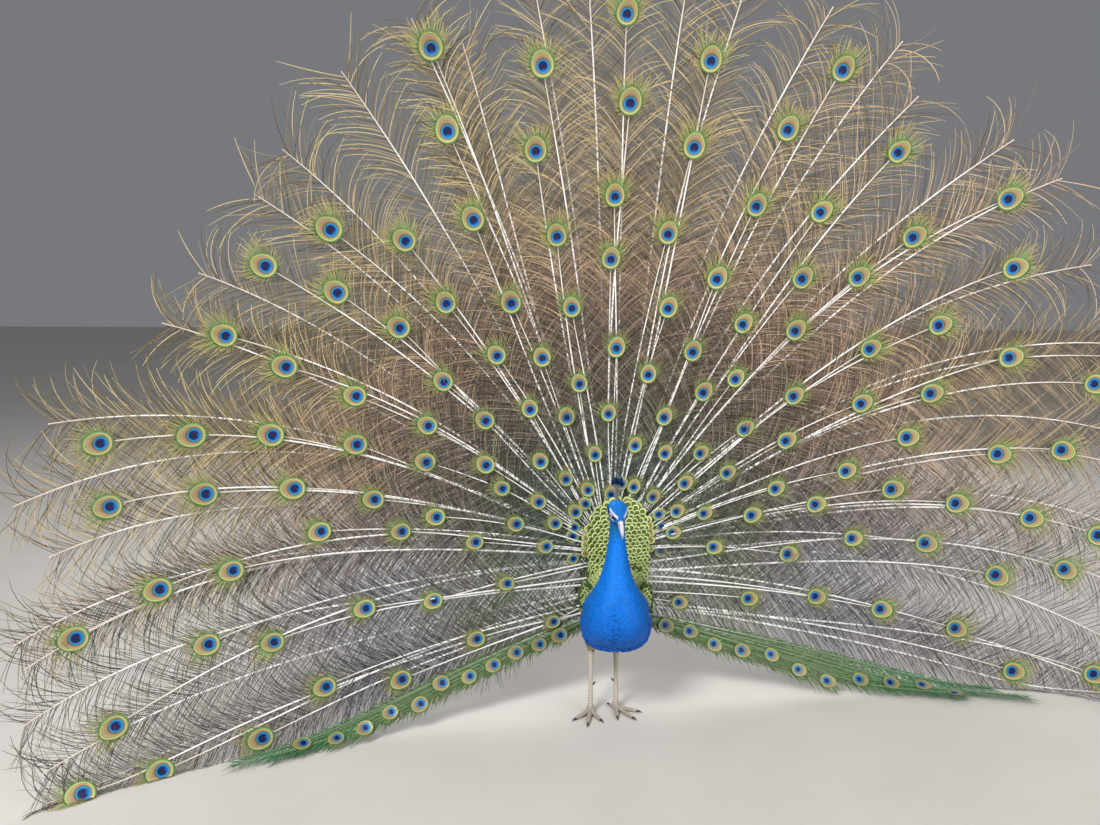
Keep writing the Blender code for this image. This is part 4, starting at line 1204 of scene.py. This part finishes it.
# ---- mantle --------------------------------------------------------------------------------
# half size, place of the middle and colour of each edge of a scale feather, from the inside
SCALE_RINGS = (
    (0.02, -0.10, paint(92, 104, 48)),
    (0.50, -0.08, paint(104, 116, 52)),
    (0.60, -0.05, paint(58, 82, 40)),
    (0.66, -0.02, paint(140, 158, 74)),
    (0.72, 0.00, LIME),
    (0.90, 0.02, LIME),
    (0.95, 0.03, paint(84, 112, 48)),
    # Painted shadow: the nearly black outermost edge along each scale's rim.
    (1.00, 0.04, paint(34, 52, 26)),
)
RIM_RINGS = (
    (0.02, -0.10, paint(150, 130, 92)),
    (0.60, -0.04, paint(160, 142, 104)),
    (0.68, 0.00, paint(116, 124, 66)),
    (0.74, 0.01, paint(222, 226, 130)),
    (0.94, 0.02, paint(212, 222, 124)),
    (1.00, 0.03, paint(84, 118, 62)),
    (1.08, 0.04, paint(66, 96, 56)),
)
SCALE_SMALL = 0.0070              # at the mantle's foot
SCALE_GROWTH = 0.0052
SCALE_PITCH = (1.42, 1.02)        # spacing across and down, in sizes
SHOULDER_TOP = 0.400
SHOULDER_FOOT = 0.268
SHOULDER_PITCH = 0.0100           # spacing of the scales across
SHOULDER_DROP = 0.0080            # and from row to row
RIM_ARC = 1.35                    # the arcs over the mantle go this times their reach each way
SMALL_EYE_RINGS = tuple((wide, middle * 0.5, tone) for wide, _, middle, tone in EYE_RINGS)


def mantle_front(out, height):
    """The front of the mantle: out is -1 to 1 across, height is in the fan's frame."""
    share = (height - MANTLE_FOOT) / (MANTLE_TOP - MANTLE_FOOT)
    half = MANTLE_HALF * (0.78 + 0.22 * soft_step(share / 0.5))
    over = np.clip((share - 0.72) / 0.30, 0, 0.98)
    half = half * np.sqrt(1 - over ** 2.2)
    thick = 0.050 - 0.040 * soft_step(share / 0.9)
    back = -BASE_FRONT - TRAIN_TILT * np.maximum(height, 0.0)
    deep = (1 + np.sqrt(np.clip(1 - out ** 2, 0, 1))) / 2
    return to_part(join(MANTLE_X + half * out, back - thick * deep, height)) + SHIFT


def round_plates(batch, rings, middle, side, tip, front, tilt, size, spots, sides=14, tall=1.12,
                 cup=0.10):
    """Scale feathers: round plates whose rows of points follow their coloured edges."""
    up = unit(tip + front * tilt)
    face = unit(front - tip * tilt)
    angle = np.arange(sides) * 2 * pi / sides
    wide, centre = np.array([ring[:2] for ring in rings]).T[..., None]
    x = wide * np.cos(angle)
    y = centre + wide * tall * np.sin(angle)
    flat = join(x, y, -cup * (x ** 2 + y ** 2))
    axes = np.stack([side, up, face], axis=1) * size[:, None, None]
    shade = random.uniform(0.82, 1.15, len(middle))[:, None, None, None]
    batch.add(middle[:, None, None] + np.einsum("rca,nad->nrcd", flat, axes),
              np.array([ring[2] for ring in rings])[:, None] * shade,
              spots[:, None, None] + flat[..., :2] * 0.0042, closed=True)


def across_fan(turn):
    """Directions in the fan's plane, turned from upright by an angle: side, tip, front."""
    yaw = radians(TRAIN_YAW)
    right = np.array([cos(yaw), sin(yaw), 0.0])
    turn = turn[:, None]
    tip = right * np.sin(turn) + UP * np.cos(turn)
    front = np.array([sin(yaw), -cos(yaw), 0.0])
    return right * np.cos(turn) - UP * np.sin(turn), tip, np.broadcast_to(front, tip.shape)


def add_shoulder_scales(batch):
    """Scales that carry on down the shoulders, over the front of each wing.

    Rays from the front and from the side find the places; trunk and breast only screen them.
    """
    shapes = [node_mesh(name) for name in ("wing_left", "wing_right", "mantle", "trunk", "breast")]
    corners, faces = one_mesh(shapes)
    surface = BVHTree.FromPolygons(corners.tolist(), faces.tolist())
    wanted = sum(len(triangles) for _, triangles in shapes[:3])
    for sign in (-1, 1):
        found = []
        for row, height in enumerate(np.arange(SHOULDER_TOP, SHOULDER_FOOT, -SHOULDER_DROP)):
            stagger = SHOULDER_PITCH / 2 * (row % 2)
            ahead = np.arange(0.034, 0.104, SHOULDER_PITCH) + stagger
            beside = np.arange(-0.026, 0.030, SHOULDER_PITCH) + stagger
            rays = [(sign * x, -0.5, (0, 1, 0)) for x in ahead]
            rays += [(sign * 0.4, y, (-sign, 0, 0)) for y in beside]
            for x, y, way in rays:
                start = (BODY_X + SHIFT[0] + x, y + SHIFT[1], height)
                spot, normal, face, _ = surface.ray_cast(Vector(start), Vector(way))
                if spot is not None and face < wanted:
                    found.append((spot, normal))
        spot, normal = [np.array(column) for column in zip(*found)]
        outward = unit(normal + np.array([0.0, -0.5, 0.0]))
        tip = unit(UP - outward * outward[:, 2:])
        chart = join(0.5 + sign * (0.30 + spot[:, 1]), 0.1 + 0.7 * spot[:, 2])
        round_plates(batch, SCALE_RINGS, spot + outward * 0.0022, np.cross(tip, outward), tip,
                     outward, tilt=0.3, size=random.uniform(0.0062, 0.0076, len(spot)),
                     spots=chart)


def add_back_scales(batch):
    """Scales down the back, between the neck and the raised mantle."""
    place, turn, size = body_rows(5.4, 1.6, (1.6, 5.4), (0.0150, 0.0150), gap=0.56,
                                  spacing=0.86)
    upper = 0.5 + 0.5 * np.cos(turn) < 0.46 - 0.10 * soft_step((place - 4.2) / 1.0)
    place, turn, size = place[upper], turn[upper], size[upper]
    here = body_surface(place, turn)
    outward = unit(body_surface(place, turn, 0.01) - here)
    tip = unit(body_surface(place - 0.05, turn) - here)
    chart = join(turn % (2 * pi) / (2 * pi), np.clip(place / 6, 0, 1)) * 0.9 + 0.05
    round_plates(batch, SCALE_RINGS, here + outward * 0.0042, np.cross(tip, outward), tip, outward,
                 tilt=0.28, size=size / 2, spots=chart)


def add_mantle_scales(batch):
    rows = []
    height = MANTLE_TOP - 0.008
    while height > MANTLE_FOOT - 0.004:
        share = max((height - MANTLE_FOOT) / (MANTLE_TOP - MANTLE_FOOT), 0.0)
        size = SCALE_SMALL + SCALE_GROWTH * share ** 1.2
        ends = mantle_front(np.array([-1.0, 1.0]), height)
        count = max(int(np.linalg.norm(ends[1] - ends[0]) / (size * SCALE_PITCH[0])), 2)
        out = np.linspace(-1, 1, count + 1)[:-1] + (0.0 if len(rows) % 2 else 1.0 / count)
        out = np.clip(out * 0.98 + random.normal(0, 0.02, count), -0.99, 0.99)
        level = height + random.normal(0, 0.0012, count)
        rows.append((mantle_front(out, level), out * 0.75, size * random.uniform(0.9, 1.12, count),
                     join(0.5 + 0.45 * out, 0.05 + 0.9 * share)))
        height -= size * SCALE_PITCH[1]
    middle, turn, size, chart = [np.concatenate(column) for column in zip(*rows)]
    side, tip, front = across_fan(turn)
    round_plates(batch, SCALE_RINGS, middle + front * 0.0015, side, tip, front, tilt=0.26,
                 size=size, spots=chart)


def add_rim(batch, rings, count, reach, stray, wide, low, high, ahead, sizes, room, **shape):
    """Round plates on an arc over the mantle, none of them nearer than room to a train's eye.

    reach is in radians; the arc is wide across on each side and high above the height low.
    """
    turn = (np.linspace(-reach, reach, count) + random.normal(0, stray, count)) * RIM_ARC
    height = low + high * np.cos(turn)
    depth = ahead - BASE_FRONT - TRAIN_TILT * np.maximum(height, 0)
    spot = to_part(join(MANTLE_X + wide * np.sin(turn), depth, height)) + SHIFT
    keep = np.linalg.norm(spot[:, None] - np.array(EYE_SPOTS), axis=-1).min(axis=1) > room
    side, tip, front = across_fan(turn)
    chart = join(0.5 + 0.45 * np.sin(turn), 0.5 + 0.45 * np.cos(turn))
    round_plates(batch, rings, spot[keep], side[keep], tip[keep], front[keep], tilt=0.0,
                 size=random.uniform(*sizes, count)[keep], spots=chart[keep], **shape)


def make_mantle():
    batch = Batch()
    add_mantle_scales(batch)
    add_shoulder_scales(batch)
    add_back_scales(batch)
    add_rim(batch, RIM_RINGS, 19, reach=1.3, stray=0.03, wide=0.094, low=0.026, high=0.124,
            ahead=-0.004, sizes=(0.0100, 0.0130), room=0.0, sides=20, tall=1.15)
    batch.make("mantle_scales", "mantle_feather", "mantle_gold")
    batch = Batch()
    add_rim(batch, SMALL_EYE_RINGS, 13, reach=1.35, stray=0.06, wide=0.132, low=0.030, high=0.168,
            ahead=0.006, sizes=(0.0145, 0.0170), room=EYE_ROOM, sides=22, cup=0.05)
    batch.make("mantle_eyes", "small_eye", "mantle_gold")


# ---- head: bill, eyes, lids and crest ------------------------------------------------------
BILL_ROWS = 26
BILL_SIDES = 20
BILL_INSET = 0.0035               # the bill starts this far inside the face
EYEBALL_SIDES = 28


def add_rings(name, look, slot, rows, tones, chart_rows, *nodes):
    """One piece from rings of points in the head's frame."""
    turn = np.arange(rows.shape[1]) / rows.shape[1]
    batch = Batch()
    batch.add(from_head(rows)[None], tones, join(chart_rows, 0.1 + 0.8 * turn), closed=True)
    batch.make(name, look, slot, *nodes)


def make_bill():
    """Both halves of the bill, the upper one hooked over the lower and with nostrils."""
    share = np.linspace(0, 1, BILL_ROWS)[:, None] ** 0.85
    size = (1 - share ** 1.9) ** 0.8 + 0.08
    turn = np.linspace(0, 2 * pi, BILL_SIDES, endpoint=False)
    ridge = np.maximum(np.sin(turn), 0) ** 0.85
    belly = np.minimum(np.sin(turn), 0) * 0.10
    nostril = np.exp(-((share - 0.27) / 0.085) ** 2 - ((np.sin(turn) - 0.45) / 0.20) ** 2)
    for name, node, sign, reach, wide, high in (
            ("bill_top", "bill_upper", 1.0, BILL_LENGTH, 0.0070, 0.0092),
            ("bill_under", "bill_lower", -1.0, BILL_LENGTH * 0.84, 0.0056, 0.0046)):
        length = reach + BILL_INSET
        slit = nostril * (sign > 0)
        sag = -0.0075 * (length * share / BILL_LENGTH) ** 2.4
        sag = sag - 0.0022 * soft_step((share - 0.84) / 0.16) * (sign > 0)
        x = wide * size * np.cos(turn) * (1 - 0.20 * ridge * share) * (1 - 0.16 * slit)
        z = sag + sign * (0.0002 + high * size * (ridge + belly))
        tone = mix(LILAC_BILL, HORN_DARK, 0.55 * soft_step((share - 0.70) / 0.30))
        tone = mix(tone, paint(120, 128, 146), 0.6 * soft_step((0.16 - share) / 0.16))
        tone = mix(tone, NIGHT, np.clip(slit * 1.1, 0, 1))
        points = join(x, HEAD_RINGS[-1][0] - BILL_INSET + length * share, z)
        add_rings(name, "bill_horn", "bill_pale", points, tone, 0.1 + 0.8 * share, node)


# polar angle and colour of each ring of the eyeball, from the middle of the pupil
EYEBALL = ((0.02, NIGHT * 0.2), (0.40, NIGHT * 0.2), (0.50, paint(30, 16, 8)),
           (0.60, paint(92, 56, 28)), (0.86, paint(74, 42, 20)), (0.96, paint(14, 10, 8)),
           (1.25, paint(18, 16, 18)), (1.80, paint(18, 16, 18)), (2.60, paint(18, 16, 18)))
# radius, place along the gaze and colour of each ring of the lid, from its inner edge
LID = ((0.0042, 0.0037, paint(24, 28, 36)), (0.0045, 0.0041, paint(84, 92, 108)),
       (0.0050, 0.0040, paint(168, 176, 192)), (0.0058, 0.0033, paint(186, 194, 210)),
       (0.0065, 0.0021, paint(120, 136, 170)), (0.0070, 0.0004, paint(30, 56, 110)))


def make_eyes():
    """Dark brown eyes with a black pupil, each in a ring of bare pale skin."""
    turn = np.linspace(0, 2 * pi, EYEBALL_SIDES, endpoint=False)[:, None]
    along, side, up = EYE_PLACE
    for name, sign in (("left", 1), ("right", -1)):
        centre = np.array([-sign * side, along, up])
        gaze = unit(np.array([-sign * 1.0, 0.16, 0.05]))
        ahead = unit(np.cross(gaze, UP))
        above = np.cross(ahead, gaze)
        above = above * np.sign(above[2])
        ring = ahead * np.cos(turn) + above * np.sin(turn)
        rows = []
        for bend, _ in EYEBALL:
            out = EYE_RADIUS * (1 + 0.05 * max(0.0, 1 - bend))
            rows.append(centre + gaze * cos(bend) * out + ring * sin(bend) * out)
        chart = np.linspace(0.1, 0.9, len(rows))[:, None]
        tones = np.array([tone for _, tone in EYEBALL])[:, None]
        add_rings(f"eyeball_{name}", "wet_eye", "eye_dark", np.array(rows), tones, chart,
                  f"eye_{name}")
        slim = ahead * np.cos(turn) + above * np.sin(turn) * 0.86
        rows = [centre + gaze * deep + slim * wide for wide, deep, _ in LID]
        chart = np.linspace(0.1, 0.9, len(rows))[:, None]
        tones = np.array([tone for _, _, tone in LID])[:, None]
        add_rings(f"lid_{name}", "bare_skin", "head_blue", np.array(rows), tones, chart)


def tube(batch, path, radii, tones, chart, sides=6):
    """A round rod along a path, with a radius and a colour at each point."""
    ways = unit(np.gradient(path, axis=0))
    aside = unit(np.cross(ways, np.array([0.13, 0.92, 0.37])))
    turn = np.arange(sides) * 2 * pi / sides
    points = ring_round(path, aside, np.cross(ways, aside), turn, radii[:, None])
    spot = join(np.linspace(-0.5, 0.5, len(path))[:, None] * 0.01, turn / (2 * pi) * 0.004)
    batch.add(points[None], tones[..., None, :], np.asarray(chart) + spot, closed=True)


CREST_SHAFTS = 22
CREST_BARBS = 15
CREST_RADII = (0.00075, 0.00045)  # of a shaft at its foot and its tip
SPOON = 0.0125                    # length of a spoon's middle barbs
CREST_LEAN = 0.62                 # how far a spoon's outer barbs lean out, in radians


def make_crest():
    """Bare shafts that fan out over the crown, each with a spoon of dark blue barbs."""
    pose = np.array(Matrix.Rotation(radians(HEAD_YAW), 3, "Z"))
    crown = np.array(HEAD_CENTRE) + np.array([-0.002, 0.006, 0.019]) + SHIFT
    batch = Batch()
    row = np.linspace(0, 1, 8)
    step = np.linspace(0, 1, 4)
    count = CREST_BARBS
    for k in range(CREST_SHAFTS):
        share = (k + 0.5) / CREST_SHAFTS * 2 - 1
        high = CREST_HEIGHT * (0.88 - 0.12 * share ** 2) * random.uniform(0.86, 1.0)
        wide = 0.004 + (CREST_WIDTH / 2 - 0.010) * row ** 1.25
        sway = random.normal(0, 0.0048) * row ** 1.2
        path = join(sway, share * wide, high * row - 0.004) @ pose.T + crown
        tone = mix(paint(50, 62, 76), paint(136, 130, 124), soft_step(row / 0.3))
        tube(batch, path, np.interp(row, (0, 1), CREST_RADII), tone,
             (0.1 + 0.8 * k / CREST_SHAFTS, 0.3), sides=5)
        way = unit(path[-1] - path[-3])
        facing = random.normal(0.3, 0.85)
        flat = pose @ np.array([sin(facing), cos(facing), 0.0])
        flat = unit(flat - way * np.dot(flat, way))
        lean = np.linspace(-CREST_LEAN, CREST_LEAN, count) + random.normal(0, 0.03, count)
        start = path[-1] - way * (0.0035 * np.abs(np.linspace(-1, 1, count)))[:, None]
        ahead = unit(way * np.cos(lean)[:, None] + flat * np.sin(lean)[:, None])
        length = SPOON * (1 - 0.30 * (lean / CREST_LEAN) ** 2) * random.uniform(0.9, 1.1, count)
        lines = start[:, None] + ahead[:, None] * (length[:, None] * step)[..., None]
        sides = unit(np.cross(np.cross(flat, way), ahead))[:, None] + 0 * lines
        half = 0.0009 * np.array([0.6, 1.0, 1.1, 0.5]) * np.ones((count, 1))
        tone = mix(paint(22, 70, 120), paint(14, 44, 110), random.uniform(0, 1, (count, 4)))
        batch.add(*vanes(lines, sides, half, tone, 0.6 + join(0, lean * 0.02)))
    batch.make("crest_plumes", "body_feather", "crest_blue", "crest")


# ---- quills of the tail and the wings ------------------------------------------------------
TAIL_ROWS = 26
PRIMARIES = 10
PRIMARY_ROWS = 18
PRIMARY_LENGTH = 0.190
PRIMARY_ROOT = (0.046, 0.052, 0.212)


def blunt(row, start):
    """Width of a vane that is full up to a share of its length and round beyond it."""
    over = ((row - start) / (1 - start)).clip(0)
    return np.sqrt(np.clip(1 - over ** 2, 0.02, 1))


def add_quills(webs, rods, lines, side, front, half, tone, bars, place, rod):
    """Broad vanes streaked along slanting barb lines, each on a rod of its own.

    rod holds how far in front of the vane it lies, its radii, its colour and its sides.
    """
    across = np.linspace(-1, 1, 9)
    bow = -0.12 * np.abs(across) ** 1.5
    width = half[..., None, None]
    points = (lines[:, :, None] + side[:, :, None] * (width * across[:, None])
              + front[:, :, None] * (width * bow[:, None]))
    share = np.linspace(0, 1, lines.shape[1])[:, None]
    phase = 1.7 * np.arange(len(lines))[:, None, None]
    streak = np.sin(bars * (share + 0.10 * np.abs(across)) + phase)
    shade = 1 + 0.22 * streak + random.uniform(-0.10, 0.10, points.shape[:3])
    webs.add(points, tone * shade[..., None],
             place[:, None, None] + join(across * 0.015, (share - 0.5) * 0.3))
    ahead, radii, rod_tone, sides = rod
    for k, line in enumerate(lines):
        tube(rods, line + front[k] * ahead, radii, rod_tone[None], place[k], sides)


def make_tail():
    """Twenty stiff brown feathers standing behind the train, with pale shafts."""
    order = np.arange(TAIL_FEATHERS)
    share = np.linspace(0, 1, TAIL_ROWS)
    angle = np.radians(-TAIL_SPREAD + 2 * TAIL_SPREAD * (order + 0.5) / TAIL_FEATHERS)[:, None]
    row = 0.12 + 0.88 * share
    reach = TAIL_LENGTH * (0.975 + 0.025 * np.cos(order * pi))[:, None] * row
    deep = TAIL_BEHIND + reach * (0.02 - 0.055 * row) + 0.0007 * np.where(order % 2, 1, -1)[:, None]
    lines = to_part(join(reach * np.sin(angle), deep, reach * np.cos(angle))) + SHIFT
    side, _, front = [way[:, None] + 0 * lines for way in across_fan(angle[:, 0])]
    half = (0.010 + 0.025 * soft_step((row - 0.05) / 0.85)) * blunt(share, 0.86)
    webs = Batch()
    rods = Batch()
    add_quills(webs, rods, lines, side, front, half * np.ones((TAIL_FEATHERS, 1)),
               paint(112, 92, 72), 120.0, join(0.05 + 0.9 * order / TAIL_FEATHERS, 0.5),
               (-0.0014, 0.0019 - 0.0013 * share, paint(196, 176, 148), 6))
    webs.make("tail_vanes", "brown_vane", "tail_brown", "tail")
    rods.make("tail_quills", "brown_quill", "tail_brown")


def make_primaries():
    """The chestnut wing quills that hang down and back under the wings."""
    rods = Batch()
    order = np.arange(PRIMARIES)[:, None]
    share = order / (PRIMARIES - 1)
    row = np.linspace(0, 1, PRIMARY_ROWS)
    aside, back, up = PRIMARY_ROOT
    for name, sign in (("left", 1), ("right", -1)):
        reach = PRIMARY_LENGTH * row * random.uniform(0.94, 1.0, (PRIMARIES, 1))
        turn = np.radians(-6 - 26 * share)
        x = BODY_X + sign * (aside + 0.016 * share + 0.034 * row * share)
        z = up - 0.004 * share + reach * np.sin(turn) * 0.42 + 0.0006 * order
        lines = join(x, back + reach * np.cos(turn), z) + SHIFT
        ways = unit(np.gradient(lines, axis=1))
        flat = np.array([sign * 0.62, 0.0, -0.78])
        side = unit(flat - ways * np.sum(ways * flat, axis=-1, keepdims=True))
        half = 0.0115 * blunt(row, 0.72) * (0.55 + 0.45 * soft_step(row / 0.2))
        webs = Batch()
        add_quills(webs, rods, lines, side, np.cross(ways, side), half * np.ones((PRIMARIES, 1)),
                   CHESTNUT, 90.0, join(0.1 + 0.8 * share[:, 0], 0.5),
                   (0.0006, 0.0014 - 0.0009 * row, DARK_BAR, 5))
        webs.make(f"primary_vanes_{name}", "brown_vane", "primary_chestnut", f"primaries_{name}")
    rods.make("primary_quills", "brown_quill", "primary_chestnut")


# ---- legs and feet -------------------------------------------------------------------------
SOLE = 0.0002                     # toes and pads are cut off flat at this height
QUARTERS = (0, 0.25, 0.5, 0.75, 1)
SHANK_SHARES = np.array([0.0, 0.06, 0.16, 0.4, 0.7, 0.9, 1.0])
SHANK_RADII = np.array([0.0098, 0.0100, 0.0080, 0.0062, 0.0058, 0.0068, 0.0066])
SPUR_STEPS = np.array(((0.003, 0.001, 0.0), (0.009, 0.010, 0.0), (0.0115, 0.0150, 0.0012),
                       (0.013, 0.019, 0.003)))
SPUR_RADII = np.array([0.0040, 0.0028, 0.0018, 0.0005])
PAD_PATH = np.array(((0, 0.004, 0.026), (0, 0.001, 0.018), (0, 0, 0.012), (0, 0, 0.007),
                     (0, 0, 0.003)))
PAD_RADII = np.array([0.0070, 0.0098, 0.0118, 0.0112, 0.0080])
TOE_RADIUS = 0.0062
CLAW_LENGTH = 0.0162
CLAW_RADIUS = 0.0032
SCUTE = {"shank": 0.0070, "toe": 0.0044, "pad": 0.0034}  # from plate to plate


def scaled_tube(batch, path, radii, pitch, place, raised, dark=1.0, sides=26):
    """A leg or toe: a fine tube with overlapping plates in front and small scales behind."""
    steps = np.linalg.norm(np.diff(path, axis=0), axis=1)
    far = np.concatenate([[0.0], np.cumsum(steps)])
    count = max(int(far[-1] / (pitch / 6)), 6)
    fine = np.linspace(0, far[-1], count)
    line = join(*[np.interp(fine, far, path[:, k]) for k in range(3)])
    radius = np.interp(fine, far, radii)
    ways = unit(np.gradient(line, axis=0))
    front = np.array([0.0, -1.0, 0.0]) if abs(ways[0][2]) > 0.7 else UP
    above = unit(front - ways * np.sum(ways * front, axis=1, keepdims=True))
    turn = np.arange(sides) * 2 * pi / sides
    fine = fine[:, None]
    saw = (fine / pitch + 0.25 * np.abs(np.sin(turn))) % 1.0
    plate = soft_step(saw / 0.25) * (1 - soft_step((saw - 0.80) / 0.20))
    small = 0.5 + 0.5 * np.cos(9 * turn) * np.cos(2 * pi * fine / (pitch * 0.45))
    ahead = soft_step((np.cos(turn) + 0.25) / 0.35)
    cover = small * (1 - ahead) + plate * ahead
    size = radius[:, None] * (1 - raised + 2 * raised * cover)
    points = ring_round(line, above, np.cross(ways, above), turn, size)
    points[..., 2] = np.maximum(points[..., 2], SOLE)
    tone = mix(HORN_DARK, HORN, np.clip(0.15 + 0.85 * cover, 0, 1)) * dark
    spot = join(np.linspace(-0.5, 0.5, count)[:, None] * 0.2, turn / (2 * pi) * 0.08)
    batch.add(points[None], tone, np.asarray(place) + spot, closed=True)


def add_toe(toes, claws, x, y, heading, name, length):
    hind = name == "hind"
    share = np.linspace(0, 1, 17)
    taper = np.interp(share, QUARTERS, (1.10, 0.96, 0.94, 0.88, 0.70))
    radius = TOE_RADIUS * (0.85 if hind else 1.0) * taper
    radius = radius * (1 + 0.07 * np.cos(2 * pi * share * (1 if hind else 3)))
    radius = radius * (1 - 0.30 * soft_step((share - 0.90) / 0.10))
    away = np.array([sin(heading), -cos(heading), 0.0])
    line = np.array([x, y, 0.0]) + SHIFT * LEVEL + away * (length * share)[:, None]
    line[:, 2] = radius * 0.82 + 0.010 * (1 - share) ** 3.5
    scaled_tube(toes, line, radius, SCUTE["toe"], (0.5, 0.5), raised=0.05, dark=0.72, sides=22)
    reach = np.linspace(0, 1, 9)
    claw = line[-1] - away * 0.0012 + away * (CLAW_LENGTH * reach)[:, None]
    claw[:, 2] = np.interp(reach, QUARTERS, (0.0038, 0.0048, 0.0046, 0.0034, 0.0014))
    tone = mix(CLAW, HORN_DARK, 0.5 * soft_step((reach - 0.7) / 0.3))
    tube(claws, claw, CLAW_RADIUS * (1 - reach ** 1.5) + 0.0005, tone, (0.5, 0.5), sides=12)


def make_legs():
    for side, x, y, turn in LEGS:
        sign = 1 if side == "left" else -1
        top = np.array([x, y + HOCK_BACK, HOCK_Z + 0.012]) + SHIFT
        foot = np.array([x, y, JOINT_Z - 0.002]) + SHIFT
        leg = Batch()
        scaled_tube(leg, top + (foot - top) * SHANK_SHARES[:, None], SHANK_RADII, SCUTE["shank"],
                    (0.3, 0.5), raised=0.045)
        root = (x, y + HOCK_BACK * 0.34, JOINT_Z + 0.0075 + (HOCK_Z - JOINT_Z) * 0.32)
        spur = np.array(root) + SPUR_STEPS * np.array([-1 if x > 0 else 1, 1, 1]) + SHIFT
        tone = mix(HORN_DARK, CLAW, np.array([0.0, 0.3, 0.7, 1.0]))
        tube(leg, spur, SPUR_RADII, tone, (0.8, 0.2), sides=12)
        leg.make(f"shank_{side}", "leg_scale", "leg_horn", f"tarsus_{side}")

        toes = Batch()
        claws = Batch()
        for name, spread, length in TOES:
            add_toe(toes, claws, x, y, radians(sign * (turn + spread)), name, length)
        pad = np.array([x, y, 0.0]) + PAD_PATH + SHIFT * LEVEL
        scaled_tube(toes, pad, PAD_RADII, SCUTE["pad"], (0.5, 0.5), raised=0.05, dark=0.75)
        toes.make(f"toes_{side}", "leg_scale", "leg_horn", f"foot_{side}")
        claws.make(f"claws_{side}", "claw_horn", "claw_dark",
                   *[f"claw_{side}_{name}" for name, _, _ in TOES])


make_train()
skin_chart = SkinChart(make_skin())
make_body_coat(skin_chart)
make_head_coat(skin_chart)
make_other_coats(skin_chart)
make_mantle()
make_bill()
make_eyes()
make_crest()
make_tail()
make_primaries()
make_legs()


# ---- stage, light and camera ---------------------------------------------------------------
CAMERA_PLACE = (0.0, -2.75, 1.254)
CAMERA_PITCH = 8.65               # degrees below level
CAMERA_TURN = 3.1                 # degrees to the left of straight ahead
CAMERA_LENS = 34.36


def make_stage():
    bpy.ops.mesh.primitive_plane_add(size=30)
    floor = bpy.context.object
    floor.name = "floor"
    floor.data.materials.append(look_of_floor(paint(206, 202, 196), dark=0.93))
    world = bpy.data.worlds.new("studio")
    bpy.context.scene.world = world
    world.use_nodes = True
    sky = world.node_tree.nodes["Background"]
    sky.inputs["Color"].default_value = (0.30, 0.31, 0.33, 1)
    sky.inputs["Strength"].default_value = 0.62
    bpy.context.scene.view_settings.view_transform = "Standard"


def make_light(name, place, aim, size, power):
    lamp = bpy.data.lights.new(name, "AREA")
    lamp.size = size
    lamp.energy = power
    item = bpy.data.objects.new(name, lamp)
    item.location = place
    item.rotation_euler = (Vector(aim) - Vector(place)).to_track_quat("-Z", "Y").to_euler()
    bpy.context.scene.collection.objects.link(item)


def make_camera():
    lens = bpy.data.cameras.new("camera")
    lens.sensor_width = 36.0
    lens.lens = CAMERA_LENS
    item = bpy.data.objects.new("camera", lens)
    item.location = Vector(CAMERA_PLACE) + Vector(SHIFT)
    item.rotation_euler = Euler((radians(90 - CAMERA_PITCH), 0, radians(CAMERA_TURN)))
    bpy.context.scene.collection.objects.link(item)
    bpy.context.scene.camera = item


make_stage()
make_light("key", (-2.0, -3.6, 4.2), (0, 0, 0.8), size=1.6, power=300)
make_light("fill", (3.0, -2.6, 2.2), (0, 0, 0.7), size=3.0, power=80)
make_light("rim", (0.5, 3.4, 3.2), (0, 0, 1.0), size=3.0, power=120)
make_camera()
